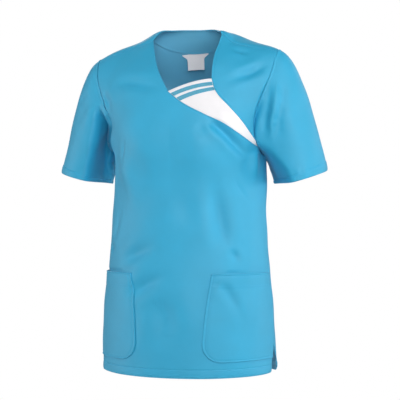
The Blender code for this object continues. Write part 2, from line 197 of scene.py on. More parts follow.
# %% Smooth curves through a table
def smoothstep(x):
    x = np.clip(x, 0, 1)
    return x * x * (3 - 2 * x)


def spline(knots, values, at):
    knots = np.asarray(knots, dtype=float)
    values = np.asarray(values, dtype=float)
    slopes = np.gradient(values, knots)
    at = np.clip(at, knots[0], knots[-1])
    i = np.clip(np.searchsorted(knots, at) - 1, 0, len(knots) - 2)
    width = knots[i + 1] - knots[i]
    f = (at - knots[i]) / width
    start = values[i] * (1 + 2 * f) * (1 - f) ** 2 + slopes[i] * width * f * (1 - f) ** 2
    end = values[i + 1] * f**2 * (3 - 2 * f) + slopes[i + 1] * width * f**2 * (f - 1)
    return start + end


def length_along(points):
    """The length along a line of points, from its start to each of them."""
    return np.concatenate([[0], np.cumsum(np.linalg.norm(np.diff(points, axis=0), axis=1))])


def column(sections, name, up):
    up = np.asarray(up, dtype=float)
    if name in ("mid_y", "mid_z"):
        return spline([row.up for row in sections], [getattr(row, name) for row in sections], up)
    seam = [row for row in sections if row.up <= ARMPIT]
    hole = [row for row in sections if row.up >= ARMPIT]
    low = spline([row.up for row in seam], [getattr(row, name) for row in seam], up)
    high = spline([row.up for row in hole], [getattr(row, name) for row in hole], up)
    return np.where(up <= ARMPIT, low, high)


print("middle of the chest lies at y", round(float(column(FRONT, "mid_y", 0.46)), 3))

# %% [markdown]
# The side edge turns a sharp corner at the armpit, because a seam ends there. Real cloth doesn't
# carry that corner across the chest, so away from the edges the columns of the table are
# blurred. The edges stay exact, and neighbouring pieces still meet.

# %% Blurred columns
EASE_BLUR = 25  # how far the columns are blurred, in millimetres
SIDE_COLUMNS = ("side_x", "side_y", "side_z", "turn")
BLUR_REACH = 90  # millimetres that the blur looks at on each side
blurred = {}
for key, sections in (("front", FRONT), ("back", BACK)):
    heights = np.arange(0, sections[-1].up + 0.0005, 0.001)
    bell = np.exp(-0.5 * (np.arange(-BLUR_REACH, BLUR_REACH + 1) / EASE_BLUR) ** 2)
    for name in SIDE_COLUMNS:
        line = column(sections, name, heights)
        line = np.pad(line, BLUR_REACH, mode="reflect", reflect_type="odd")
        blurred[key, name] = heights, np.convolve(line, bell / bell.sum(), mode="valid")
print(len(blurred), "blurred columns")

# %% Points on a sheet
Fullness = namedtuple("Fullness", "x z wide tall out")
BUST = Fullness(x=0.080, z=-0.232, wide=0.060, tall=0.062, out=0.015)


def key_of(sections):
    return "back" if sections is BACK else "front"


def surface(sections, across, up, eased=False):
    """Points on a sheet: across runs from -1 to 1 between its sides, up is height on the cloth."""
    across, up = np.broadcast_arrays(np.asarray(across, dtype=float), up)
    if eased:
        side_x, side_y, side_z, turn = (
            np.interp(up, *blurred[key_of(sections), name]) for name in SIDE_COLUMNS
        )
    else:
        side_x, side_y, side_z, turn = (column(sections, name, up) for name in SIDE_COLUMNS)
    turn = np.radians(turn)
    rise = (np.cos(across * turn) - np.cos(turn)) / (1 - np.cos(turn))
    x = side_x * np.sin(across * turn) / np.sin(turn)
    y = side_y + (column(sections, "mid_y", up) - side_y) * rise
    z = side_z + (column(sections, "mid_z", up) - side_z) * rise
    above_armpit = (up - ARMPIT) / (sections[-1].up - ARMPIT)
    z = z + SHOULDER_TILT * across * smoothstep(above_armpit)
    spread = SLIT_BACK_OUT if sections is BACK else -SLIT_FRONT_IN
    x = x + spread * np.sign(across) * across**6 * smoothstep(1 - up / SLIT_TOP)
    if sections is FRONT:
        near_x = (np.abs(x) - BUST.x) / BUST.wide
        near_z = (z - BUST.z) / BUST.tall
        y = y - BUST.out * np.exp(-(near_x**2) - near_z**2) * (1 - across**4)
    return np.stack([x, y, z], axis=-1)


print("middle of the hem:", surface(FRONT, [0.0], 0.0)[0].round(3))

# %% The body's sheet and the directions out of it
EASE_SIDE = 0.30  # share of the half width over which the corner fades
EASE_TOP = 0.06  # metres below the shoulder over which the blur fades out


def body(sections, across, up):
    """A sheet with its edges exact and its columns blurred away from them."""
    exact = surface(sections, across, up)
    across, up = np.broadcast_arrays(np.asarray(across, dtype=float), up)
    share = smoothstep((1 - np.abs(across)) / EASE_SIDE)
    share = share * smoothstep((sections[-1].up - up) / EASE_TOP)
    return exact + (surface(sections, across, up, eased=True) - exact) * share[..., None]


def body_normal(sections, across, up):
    step = 0.004
    across, up = np.broadcast_arrays(np.asarray(across, dtype=float), up)
    sideways = body(sections, across + step, up) - body(sections, across - step, up)
    upwards = body(sections, across, up + step) - body(sections, across, up - step)
    normal = np.cross(sideways, upwards)
    normal = normal / np.linalg.norm(normal, axis=-1, keepdims=True)
    return -normal if sections is BACK else normal


print("out of the belly:", body_normal(FRONT, [0.0], 0.2)[0].round(2))

# %% Finding a point of a sheet
LOCATE_STEPS = 80
LOCATE_ACROSS, LOCATE_UP = 3.5, 0.7  # how strongly a step answers the miss


def locate(sections, x, z):
    """The across and up of the point of a sheet that is seen at x, z, by small steps."""
    x = np.asarray(x, dtype=float)
    z = np.asarray(z, dtype=float)
    top = sections[-1]
    across = x / top.side_x
    up = z + top.up
    for _ in range(LOCATE_STEPS):
        miss = np.stack([x, z], axis=-1) - surface(sections, across, up)[..., [0, 2]]
        across = np.clip(across + LOCATE_ACROSS * miss[..., 0], -1, 1)
        up = np.clip(up + LOCATE_UP * miss[..., 1], 0, top.up)
    return across, up


NECK_ACROSS = float(locate(FRONT, NECK_POINT, 0.0)[0])
print("the neckline ends at", round(NECK_ACROSS, 3), "of the half width")

# %% [markdown]
# Folds are what makes a shell read as cloth. They could come from a cloth simulation, but nobody
# fills this garment, so it would fall in. Each fold is a line along the cloth instead, with a depth
# and a width in millimetres: the cloth sinks or rises beside the line and fades out at its ends. A
# shallow swell on each side takes up the cloth that a trough pulls in. A positive depth is a ridge.
# Distances are measured in space, so a fold runs on across a seam without a step.

# %% Folds on the front
MM = 0.001
Fold = namedtuple("Fold", "path depth wide fade_in fade_out")  # path: x and z in millimetres
FRONT_FOLDS = [
    # left chest: the long pull from the shoulder tip to the neck, and a short one above it
    Fold([(184, -58), (150, -79), (131, -87), (96, -104)], -7.0, 9, 0.25, 0.6),
    Fold([(100, -26), (124, -31), (146, -38)], -3.6, 6, 0.5, 0.5),
    # below the insert, round the bust to the side
    Fold([(76, -174), (94, -188), (112, -204), (130, -230), (146, -258)], -9.5, 9, 0.3, 0.4),
    Fold([(150, -236), (152, -262), (154, -310)], 6.0, 12, 0.3, 0.5),
    Fold([(58, -180), (70, -200), (84, -226)], -3.0, 11, 0.4, 0.6),
    Fold([(122, -290), (131, -314), (148, -342)], -2.2, 4.5, 0.4, 0.5),
    # right chest
    Fold([(-152, -96), (-103, -94), (-53, -104), (-10, -114)], -4.5, 11, 0.4, 0.6),
    Fold([(-176, -112), (-160, -134), (-150, -160)], -4.5, 9, 0.3, 0.5),
    Fold([(-107, -206), (-107, -236), (-112, -276)], -3.2, 5, 0.5, 0.5),
    Fold([(-118, -200), (-100, -290), (-86, -372)], 7.0, 22, 0.5, 0.6),
    # belly and hips
    Fold([(-108, -537), (-63, -516), (-27, -499), (10, -486)], -6.5, 13, 0.4, 0.6),
    Fold([(-124, -468), (-87, -452), (-53, -439), (-18, -426)], -6.5, 13, 0.4, 0.6),
    Fold([(113, -438), (126, -451), (128, -468)], -4.2, 7.5, 0.45, 0.45),
    Fold([(-158, -430), (-135, -442)], -4.6, 7, 0.5, 0.5),
    Fold([(-126, -350), (-136, -400), (-146, -428)], -3.0, 9, 0.5, 0.5),
    Fold([(84, -262), (92, -338), (102, -398), (112, -446)], -8.0, 16, 0.5, 0.35),
    Fold([(30, -310), (30, -400)], -2.6, 18, 0.5, 0.5),
    Fold([(-30, -530), (-6, -580), (-4, -650)], -7.5, 25, 0.4, 0.5),
    # across the left pocket
    Fold([(98, -500), (114, -522), (134, -558), (148, -600)], -3.6, 9, 0.3, 0.6),
    Fold([(88, -512), (100, -500)], -1.6, 4, 0.5, 0.5),
]
print(len(FRONT_FOLDS), "folds on the front")

# %% Folds on the back
BACK_FOLDS = [
    Fold([(-160, -75), (-90, -100), (-40, -104)], -3.6, 13, 0.4, 0.5),
    Fold([(160, -80), (96, -98), (52, -96)], -3.0, 12, 0.4, 0.5),
    Fold([(-154, -196), (-120, -245), (-96, -310)], -4.6, 14, 0.3, 0.5),
    Fold([(154, -186), (126, -230), (104, -300)], -4.2, 13, 0.3, 0.5),
    Fold([(-40, -260), (-52, -400), (-46, -520)], -3.0, 21, 0.5, 0.5),
    Fold([(36, -280), (46, -410), (60, -540)], -3.4, 23, 0.5, 0.5),
    Fold([(-118, -420), (-70, -450), (-30, -446)], -3.4, 14, 0.5, 0.5),
    Fold([(116, -400), (80, -432), (48, -440)], -3.0, 13, 0.5, 0.5),
]
print(len(BACK_FOLDS), "folds on the back")

# %% How a fold moves the cloth
FOLD_POINTS = 41
SWELL = 0.22  # height of the swell beside a fold
SWELL_AT = 2.1  # its distance, in widths


def fold_path(fold):
    """A fold's path as two smooth rows of numbers."""
    path = np.array(fold.path, dtype=float)
    knots, at = np.linspace(0, 1, len(path)), np.linspace(0, 1, FOLD_POINTS)
    return spline(knots, path[:, 0], at), spline(knots, path[:, 1], at)


def fold_line(sections, fold):
    x, z = fold_path(fold)
    return surface(sections, *locate(sections, x * MM, z * MM))


def fold_lift(points, line, fold):
    """How far one fold moves each point out."""
    flat = points.reshape(-1, 3)
    lift = np.zeros(len(flat))
    reach = 4 * fold.wide * MM
    near = np.all((flat > line.min(0) - reach) & (flat < line.max(0) + reach), axis=1)
    if near.any():
        gap = np.linalg.norm(flat[near][:, None] - line[None], axis=2)
        nearest = gap.argmin(axis=1)
        away = gap[np.arange(len(gap)), nearest] / (fold.wide * MM)
        along = nearest / (len(line) - 1)
        ends = smoothstep(along / fold.fade_in) * smoothstep((1 - along) / fold.fade_out)
        beside = np.exp(-((away - SWELL_AT) ** 2)) * SWELL
        lift[near] = fold.depth * MM * ends * (np.exp(-(away**2)) - beside)
    return lift.reshape(points.shape[:-1])


body_folds = [(fold_line(FRONT, fold), fold) for fold in FRONT_FOLDS]
body_folds += [(fold_line(BACK, fold), fold) for fold in BACK_FOLDS]
print(len(body_folds), "folds on the body")

# %% Unevenness
WAVES = 14
WAVE_LENGTHS = (0.045, 0.16)
WAVE_HEIGHT = 0.00022
random = np.random.default_rng(11)
wave_way = random.normal(size=(WAVES, 3))
wave_way /= np.linalg.norm(wave_way, axis=1)[:, None]
wave_number = 2 * np.pi / random.uniform(*WAVE_LENGTHS, WAVES)
wave_start = random.uniform(0, 2 * np.pi, WAVES)


def unevenness(points):
    """Slight waves, as pressed cloth keeps."""
    phase = points @ (wave_way * wave_number[:, None]).T + wave_start
    return WAVE_HEIGHT * np.sin(phase).sum(axis=-1)


print("waves up to", round(WAVE_HEIGHT * WAVES * 1000, 1), "mm")

# %% Draping the body
Settle = namedtuple("Settle", "x y z reach aside rise")
SETTLES = [  # where the cloth lies aside of, above or below what the tables say
    Settle(-0.072, 0.010, 0.012, 0.030, 0.0, 0.0095),
    Settle(-0.020, 0.040, 0.020, 0.045, 0.0, 0.0030),
    Settle(0.075, -0.004, 0.002, 0.020, 0.0, 0.0103),
    Settle(0.128, 0.000, -0.012, 0.036, 0.0, -0.0075),
    Settle(0.100, 0.000, -0.004, 0.018, 0.0, -0.0030),
    Settle(-0.162, -0.056, -0.176, 0.024, 0.0100, 0.0),
]


def settled(points):
    """The points, moved where the neck, the shoulders and an armhole settle."""
    points = points.copy()
    for spot in SETTLES:
        away = np.linalg.norm(points - [spot.x, spot.y, spot.z], axis=-1)
        near = np.exp(-((away / spot.reach) ** 2))[..., None]
        points += near * [spot.aside, 0, spot.rise]
    return points


def dress(sections, across, up, lift):
    """Points of the draped body cloth, moved out by lift, and the directions out of it."""
    base = settled(body(sections, across, up))
    normal = body_normal(sections, across, up)
    out = unevenness(base) + lift
    for line, fold in body_folds:
        out = out + fold_lift(base, line, fold)
    return base + normal * out[..., None], normal


print("the cloth settles in", len(SETTLES), "places")

# %% [markdown]
# Twill is a weave whose threads step over each other, so fine slanting ribs run across the cloth.
# The ribs could be modelled, but millions of them would weigh far too much, so they are a bump.
# They lie on a map in metres on the cut cloth: that keeps them as fine as real ones, and they
# follow each piece's own grain.


# %% Helpers for materials
def plain_shader(name, roughness, sheen):
    material = bpy.data.materials.new(name)
    material.use_nodes = True
    tree = material.node_tree
    shader = tree.nodes["Principled BSDF"]
    shader.inputs["Roughness"].default_value = roughness
    shader.inputs["Sheen Weight"].default_value = sheen
    shader.inputs["Sheen Roughness"].default_value = 0.45
    shader.inputs["Specular IOR Level"].default_value = 0.95
    return material, tree, shader


def scaled(tree, value, by, plus=None):
    """A value multiplied by a number, with another value added to it."""
    node = tree.nodes.new("ShaderNodeMath")
    node.operation = "MULTIPLY_ADD"
    node.inputs[1].default_value = by
    node.inputs[2].default_value = 0
    tree.links.new(value, node.inputs[0])
    if plus is not None:
        tree.links.new(plus, node.inputs[2])
    return node.outputs[0]


def noise(tree, where, scale, detail, roughness):
    node = tree.nodes.new("ShaderNodeTexNoise")
    node.inputs["Scale"].default_value = scale
    node.inputs["Detail"].default_value = detail
    node.inputs["Roughness"].default_value = roughness
    tree.links.new(where, node.inputs["Vector"])
    return node.outputs["Fac"]


def blend_colours(tree, factor, dark, light):
    """A blend from dark, a colour or a socket, to the colour light."""
    mix = tree.nodes.new("ShaderNodeMix")
    mix.data_type = "RGBA"
    if isinstance(dark, tuple):
        mix.inputs["A"].default_value = (*dark, 1)
    else:
        tree.links.new(dark, mix.inputs["A"])
    mix.inputs["B"].default_value = (*light, 1)
    tree.links.new(factor, mix.inputs["Factor"])
    return mix.outputs["Result"]


def shaded(colour, by):
    return tuple(min(1, c * by) for c in colour)


print("a colour at half its strength:", shaded((0.2, 0.4, 0.8), 0.5))

# %% Woven cloth
RIB_SCALE = 0.314  # wave scale that gives one rib per metre
# painted light: how much whiter the inner faces are painted, standing in for light that comes through
# the cloth
PAINTED_INSIDE_LIGHT = 0.09  # the wrong side is this much paler


def woven(name, colour, rib=0.0009, slant=63, roughness=0.66, sheen=0.10, relief=0.2):
    """A woven cloth: slanting ribs, threads across them, and a colour that varies a little."""
    material, tree, shader = plain_shader(name, roughness, sheen)
    nodes, links = tree.nodes, tree.links
    cut = nodes.new("ShaderNodeUVMap")
    cut.uv_map = "Cut"
    turned = nodes.new("ShaderNodeMapping")
    turned.inputs["Rotation"].default_value = (0, 0, math.radians(slant))
    links.new(cut.outputs["UV"], turned.inputs["Vector"])
    ribs = nodes.new("ShaderNodeTexWave")
    ribs.inputs["Scale"].default_value = RIB_SCALE / rib
    ribs.inputs["Distortion"].default_value = 0.6
    ribs.inputs["Detail Scale"].default_value = 3.0
    links.new(turned.outputs["Vector"], ribs.inputs["Vector"])
    threads = noise(tree, cut.outputs["UV"], 1 / rib, 2, 0.5)
    bump = nodes.new("ShaderNodeBump")
    bump.inputs["Strength"].default_value = relief
    bump.inputs["Distance"].default_value = 0.0002
    links.new(scaled(tree, threads, 0.35, ribs.outputs["Fac"]), bump.inputs["Height"])
    links.new(bump.outputs["Normal"], shader.inputs["Normal"])
    # the dye takes a little unevenly, from hand-sized patches down to single threads
    where = nodes.new("ShaderNodeTexCoord")
    patches = noise(tree, where.outputs["Object"], 11, 7, 0.62)
    mixed = scaled(tree, ribs.outputs["Fac"], 0.22, patches)
    dyed = blend_colours(tree, mixed, shaded(colour, 0.86), shaded(colour, 1.10))
    # painted light: the wrong side, which faces the inside of the top, is painted paler in place of the
    # light that shines through the thin cloth
    side = nodes.new("ShaderNodeAttribute")
    side.attribute_name = "reverse"
    dyed_with_painted_inside_light = blend_colours(tree, scaled(tree, side.outputs["Fac"], PAINTED_INSIDE_LIGHT), dyed, (1, 1, 1))
    links.new(dyed_with_painted_inside_light, shader.inputs["Base Color"])
    return material


print("the wrong side is paler by", PAINTED_INSIDE_LIGHT)

# %% Cloths and thread
BLUE = (0.004, 0.365, 0.610)
BLUE_BAND = (0.065, 0.36, 0.52)
WHITE = (0.83, 0.815, 0.835)
materials = {
    "blue_twill": woven("blue_twill_cloth", BLUE),
    "white_twill": woven("white_twill_cloth", WHITE),
    "blue_ribbon": woven("blue_ribbon_weave", BLUE_BAND, rib=0.0006, slant=90, sheen=0.2),
    "label_ribbon": woven("label_weave", (0.90, 0.89, 0.91), rib=0.0004, slant=0, roughness=0.6),
}
thread_material = woven("blue_thread", shaded(BLUE, 1.12), rib=0.0004, slant=20)
print(sorted(materials))

# %% [markdown]
# Every piece of cloth is a thin shell: a lattice of points on its outer face, the same lattice
# moved in by the cloth's thickness, and a rounded rim between them. A solidify modifier could do
# this, but here the thickness has to differ from place to place, because a hem is folded double.


# %% Faces and rims of a shell
def unit(vectors):
    size = np.linalg.norm(vectors, axis=-1, keepdims=True)
    return vectors / np.maximum(size, 1e-9)


def between_lattice(start, rows, columns, flip, tube):
    """The faces between a lattice's points, and their corners on the flat cloth."""
    row = np.arange(rows - 1)[:, None]
    col = np.arange(columns if tube else columns - 1)[None, :]
    after = (col + 1) % columns
    wide = columns + 1 if tube else columns
    quads = [row * columns + col, row * columns + after]
    quads += [(row + 1) * columns + after, (row + 1) * columns + col]
    cut = [row * wide + col, row * wide + col + 1, (row + 1) * wide + col + 1, (row + 1) * wide + col]
    quads = np.stack(np.broadcast_arrays(*quads), axis=-1).reshape(-1, 4) + start
    cut = np.stack(np.broadcast_arrays(*cut), axis=-1).reshape(-1, 4)
    return (quads[:, ::-1], cut[:, ::-1]) if flip else (quads, cut)


def rims(outer, tube):
    """The borders of a lattice: loops of (row, column) and the direction out of the cloth."""
    rows, columns = outer.shape[:2]
    if tube:
        ring = np.arange(columns)
        ends = [(0, 1), (rows - 1, rows - 2)]
        return [
            (np.full(columns, at), ring, outer[at] - outer[beside], at > 0) for at, beside in ends
        ]
    c, r = np.arange(columns), np.arange(rows)
    row = np.concatenate([c[:-1] * 0, r[:-1], c[:0:-1] * 0 + rows - 1, r[:0:-1]])
    col = np.concatenate([c[:-1], r[:-1] * 0 + columns - 1, c[:0:-1], r[:0:-1] * 0])
    away = np.zeros((len(row), 3))
    borders = (
        (outer[0] - outer[1], row == 0, col),
        (outer[-1] - outer[-2], row == rows - 1, col),
        (outer[:, 0] - outer[:, 1], col == 0, row),
        (outer[:, -1] - outer[:, -2], col == columns - 1, row),
    )
    for edge, here, along in borders:
        away[here] += unit(edge)[along[here]]
    return [(row, col, away, False)]


print("a shell is two lattices and a rim")


# %% New pieces
def new_piece(name, points, faces, corner_cut, reverse=None):
    """An object from points and faces. corner_cut is the place on the flat cloth at each corner,
    and reverse is 1 on the faces of the cloth's wrong side."""
    mesh = bpy.data.meshes.new(name)
    mesh.from_pydata(points.tolist(), [], faces)
    layer = mesh.uv_layers.new(name="Cut")
    layer.data.foreach_set("uv", corner_cut.astype("f").reshape(-1))
    if reverse is not None:
        mesh.attributes.new("reverse", "FLOAT", "FACE").data.foreach_set("value", reverse)
    mesh.shade_smooth()
    piece = bpy.data.objects.new(name, mesh)
    scene.collection.objects.link(piece)
    return piece


print("meshes before the first piece:", len(bpy.data.meshes))

# %% A shell of cloth
RIM = 0.30  # how far the rim bulges, as a share of the thickness


def cloth(name, outer, normal, thick, cut, flip=False, tube=False):
    """A shell of cloth as a new object. cut is each point's place on the flat cloth, in metres."""
    rows, columns = outer.shape[:2]
    thick = np.broadcast_to(thick, (rows, columns))
    inner = outer - normal * thick[..., None]
    count = rows * columns
    points = [outer.reshape(-1, 3), inner.reshape(-1, 3)]
    front, front_cut = between_lattice(0, rows, columns, flip, tube)
    back, back_cut = between_lattice(count, rows, columns, not flip, tube)
    faces, cuts = [front, back], [front_cut, back_cut]
    start = 2 * count
    wide = columns + 1 if tube else columns
    for row, col, away, far in rims(outer, tube):
        middle = (outer[row, col] + inner[row, col]) / 2
        points.append(middle + unit(away) * (RIM * thick[row, col])[:, None])
        here = np.arange(len(row))
        after = (here + 1) % len(row)
        side = row * columns + col
        on_cut = row * wide + col
        next_cut = on_cut + 1 if tube else on_cut[after]
        pairs = [
            (side[after], side[here], start + here, start + after),
            (start + after, start + here, count + side[here], count + side[after]),
        ]
        for quad in pairs:
            quad = np.stack(quad, axis=-1)
            quad_cut = np.stack([next_cut, on_cut, on_cut, next_cut], axis=-1)
            if flip != far:
                quad, quad_cut = quad[:, ::-1], quad_cut[:, ::-1]
            faces.append(quad)
            cuts.append(quad_cut)
        start += len(row)
    cuts = np.vstack(cuts).reshape(-1)
    faces = np.vstack(faces)
    # the faces of the wrong side, which the materials paint paler as light coming through the cloth
    reverse = np.zeros(len(faces), "f")
    reverse[len(front) : len(front) + len(back)] = 1
    wide_at = np.linalg.norm(np.diff(outer, axis=1), axis=2).sum(axis=1).max()
    long_at = np.linalg.norm(np.diff(outer, axis=0), axis=2).sum(axis=0).max()
    print(name, "outer face", round(wide_at, 3), "x", round(long_at, 3), "m at the most")
    corner_cut = cut.reshape(-1, 2)[cuts]
    return new_piece(name, np.vstack(points), faces.tolist(), corner_cut, reverse)


print("rims bulge by", RIM, "of the thickness")


# %% Cloth and frame
def finish_piece(piece, slot, *stands_for, material=None):
    """Gives a piece its cloth and ties it to the frame."""
    piece.data.materials.append(material or materials[slot])
    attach(piece, "root")
    if stands_for:
        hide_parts(*stands_for)
    triangles = sum(len(face.vertices) - 2 for face in piece.data.polygons)
    print(piece.name, triangles, "triangles")
    return piece


print("cloths to choose from:", len(materials))

# %% [markdown]
# Where the lattice lines lie matters: an edge or a hem needs close lines, because the cloth bends
# within a millimetre there, while the middle of a panel is fine with lines 3 mm apart.

# %% Spacing of the lattice
CLOSE = np.array([0, 0.4, 0.9, 1.6, 2.6, 4.0, 5.6]) * MM
HEM = 0.017  # depth of the hems
HEM_LINES = np.array([7.5, 9.5, 12, 14, 15.2, 16.0, 16.6, 17.0, 17.4, 18.0, 18.8, 20.2, 22.5]) * MM
ABOVE_HEM = 0.0255  # above this height the hem doesn't show
PITCH = 0.0034


def run(start, end, pitch=PITCH):
    """Even steps from start to end, without the end itself."""
    count = max(1, round(abs(end - start) / pitch))
    return np.linspace(start, end, count, endpoint=False)


def girths(sections):
    """Half the length of the cloth across the body at each height."""
    heights = np.arange(0, sections[-1].up + 0.0005, 0.002)
    points = surface(sections, np.linspace(0, 1, 41)[None, :], heights[:, None])
    return heights, np.linalg.norm(np.diff(points, axis=1), axis=2).sum(axis=1)


GIRTH = {"front": girths(FRONT), "back": girths(BACK)}


def cut_place(sections, across, up):
    """Where a point lies on the flat cloth."""
    across, up = np.broadcast_arrays(np.asarray(across, dtype=float), up)
    return np.stack([across * np.interp(up, *GIRTH[key_of(sections)]), up], axis=-1)


hem_rows = np.concatenate([CLOSE, HEM_LINES])
side_rows = np.concatenate([hem_rows, run(ABOVE_HEM, ARMPIT), [ARMPIT]])
print(len(side_rows), "lattice lines from the hem to the armpit")

# %% [markdown]
# The front is cut as one large panel with a slanting top edge: the shoulder seam, the neckline of
# the right side down to the point of the V, and then the seam below the white insert, which runs
# to the left armhole. The whole sheet could be made and cut away by a boolean, but a cut edge is
# ragged and can't roll. So each edge is a smooth curve through a few points, and the lattice of
# a panel ends on it.

# %% Cut edges
EdgePoint = namedtuple("EdgePoint", "x z")
RIGHT_NECK_EDGE = [
    EdgePoint(-0.076, -0.003),
    EdgePoint(-0.060, -0.035),
    EdgePoint(-0.045, -0.064),
    EdgePoint(-0.011, -0.1165),
]
INSERT_SEAM = [
    EdgePoint(-0.011, -0.1165),
    EdgePoint(0.020, -0.139),
    EdgePoint(0.067, -0.1635),
    EdgePoint(0.101, -0.180),
    EdgePoint(0.133, -0.2045),
    EdgePoint(0.161, -0.230),
]
INSERT_TOP = EdgePoint(0.0755, -0.089)
LEFT_FRONT_EDGE = [
    EdgePoint(0.076, -0.003),
    EdgePoint(0.072, -0.028),
    INSERT_TOP,
    EdgePoint(0.084, -0.112),
    EdgePoint(0.116, -0.151),
    EdgePoint(0.138, -0.179),
    EdgePoint(0.1585, -0.216),
]
POCKET_TOP = -0.487
SEAM_GAP = 0.0006
SHOULDER_GAP = 0.0006
CLOTH = 0.0010
TURNED = 0.0008  # the extra thickness of a turned edge
TURNED_REACH = 0.012  # how far a turned edge reaches into a panel


def edge_line(edge, shares):
    """A cut edge of the front at shares of its length: across and up."""
    points = np.array(edge)
    length = length_along(points)
    at = np.asarray(shares) * length[-1]
    return locate(FRONT, spline(length, points[:, 0], at), spline(length, points[:, 1], at))


def side_limit(up):
    """How far across a front panel reaches: a little less where the side seam is open."""
    gap = SEAM_GAP / 2 / column(FRONT, "side_x", up)
    return 1 - gap - SLIT_PART * smoothstep(1 - up / SLIT_TOP)


print("V point at", RIGHT_NECK_EDGE[-1])


# %% Close lines at edges
def close_ends(count, length, start=True, end=True):
    """Shares from 0 to 1, with close lines at the ends. length is in metres."""
    close = CLOSE / length
    first = close if start else close[:1]
    last = 1 - close[::-1] if end else np.array([1.0])
    middle = np.linspace(first[-1], last[0], max(3, count - len(first) - len(last) + 2))[1:-1]
    return np.concatenate([first, middle, last])


def shares_down(edge_length, pitch=PITCH, **ends):
    return close_ends(round(edge_length / pitch), edge_length, **ends)


def panel_rows(across, top, count):
    """Heights on a panel for each column: level up to the armpit, then fanned to the top edge."""
    low = np.repeat(side_rows[:, None], len(across), axis=1)
    close = top[None, :] - CLOSE[::-1][:, None]
    part = np.linspace(0, 1, count, endpoint=False)[1:, None]
    return np.vstack([low, ARMPIT + part * (close[:1] - ARMPIT), close])


print("edges have", len(CLOSE), "close lines")

# %% [markdown]
# A hem is cloth that is turned in and stitched down, so it is thicker, and the thread pulls a
# groove into it. A seam pulls both of its panels in. The shell could be folded as the cloth is, but
# its lattice would tangle at the corners. So each of these is a small rise or fall over a few close
# lattice lines, with the extra thickness beside it. Light catches on them, and without them the
# edges look like paper.

# %% Hems, seams and turned edges
HALF_GIRTH = 0.236  # about half the width of the cloth across the body


def hem_profile(up):
    """How the hem lies: the fold is full, and the stitching sinks in at its top."""
    groove = -0.6 * MM * np.exp(-(((up - HEM) / (1.1 * MM)) ** 2))
    full = 0.3 * MM * np.exp(-(((up - 0.009) / (6 * MM)) ** 2))
    return groove + full - 1.0 * MM * np.exp(-((up / (2.2 * MM)) ** 2))


def turned_in(distance, reach=TURNED_REACH):
    """The extra thickness of an edge that is turned in as far as reach."""
    return TURNED * smoothstep((reach - distance) / MM)


def hem_thickness(up):
    return turned_in(up, HEM + MM)


def sink(distance, depth, wide):
    """How far cloth rolls down into a seam."""
    return -depth * np.exp(-((distance / wide) ** 2))


def seam_sink(distance):
    return sink(distance, 0.5 * MM, 1.4 * MM)


def rolled_edge(distance):
    """A turned and stitched edge: a small roll at the edge, and a groove behind it."""
    roll = 0.7 * MM * np.exp(-(((distance - 1.3 * MM) / (1.0 * MM)) ** 2))
    groove = -0.55 * MM * np.exp(-(((distance - 3.4 * MM) / (1.1 * MM)) ** 2))
    return roll + groove


print("a hem is", round((CLOTH + TURNED) / MM, 1), "mm thick")


# %% Creases beside seams
def squarely(edge_along, edge_away):
    """Turns distances measured along one axis into distances square to a slanting edge."""
    return 1 / np.sqrt(1 + np.gradient(edge_away, edge_along) ** 2)


def side_roll(across, up):
    """Side seams roll in a little, and the armholes more towards the armpit."""
    metres = (1 - np.abs(across)) * HALF_GIRTH
    in_hole = smoothstep((up - ARMPIT) / 0.012)
    deep = in_hole * smoothstep((0.64 - up) / 0.08)
    seam = sink(metres, 0.6 * MM, 1.5 * MM) * (up > SLIT_TOP)
    return seam + deep * sink(metres, 4.0 * MM, 5 * MM)


CREASE = 6.5 * MM  # depth of the narrow crease down the low front of the left armhole
CREASE_HALF = 2.3 * MM
CREASE_TOP = 0.585


def armhole_crease(across, up):
    low = smoothstep((CREASE_TOP - up) / 0.05) * smoothstep((up - ARMPIT) / 0.010)
    return sink((1 - across) * HALF_GIRTH, CREASE, CREASE_HALF) * low


def behind_pocket(across, up):
    """The front sinks in behind a pocket's mouth, where the pocket pulls it."""
    above = (up - (POCKET_TOP - FRONT[0].mid_z) - 2.2 * MM) / (3.2 * MM)
    far = np.where(across > 0, 0.70, 0.97)
    beside = smoothstep((np.abs(across) - 0.42) / 0.07) * smoothstep((far - np.abs(across)) / 0.25)
    return -2.8 * MM * np.exp(-(above**2)) * beside


print("the armhole crease is", round(CREASE / MM, 1), "mm deep")


# %% A panel
def panel(name, node, slot, sections, across, up, lift, thick=CLOTH, moved=0.0, flip=False):
    """A piece of cloth on a body sheet: draped, made into a shell and tied to the frame. lift is
    how far it lies out of the sheet, and moved is an extra move of its points."""
    points, normal = dress(sections, across, up, lift)
    points = points + moved
    piece = cloth(name, points, normal, thick, cut_place(sections, across, up), flip)
    return finish_piece(piece, slot, node), points


print("plain cloth is", CLOTH / MM, "mm thick")

# %% Lattice of the front panel
SIDE_CLOSE = CLOSE / HALF_GIRTH
SIDE_PITCH = 0.0145  # the pitch as a share of the half width
NECK_LENGTH = 0.136
SEAM_LENGTH = 0.208
shoulder_part = run(SIDE_CLOSE[-1] + 0.012, 1 - NECK_ACROSS, SIDE_PITCH)
shoulder_part = -1 + np.concatenate([SIDE_CLOSE, shoulder_part])
neck_shares = shares_down(NECK_LENGTH, 0.0030, start=False, end=False)
neck_across, neck_up = edge_line(RIGHT_NECK_EDGE, neck_shares)
seam_across, seam_up = edge_line(INSERT_SEAM, shares_down(SEAM_LENGTH, 0.0032, start=False))
seam_across[-1] = 1
front_across = np.concatenate([shoulder_part, neck_across[:-1], seam_across])
shoulder_up = np.full(len(shoulder_part), FRONT_SHOULDER - SHOULDER_GAP / 2)
front_top = np.concatenate([shoulder_up, neck_up[:-1], seam_up - SEAM_GAP])
front_up = panel_rows(front_across, front_top, 74)
front_side = front_across[None, :] * side_limit(front_up)
print("the front's lattice is", front_up.shape)

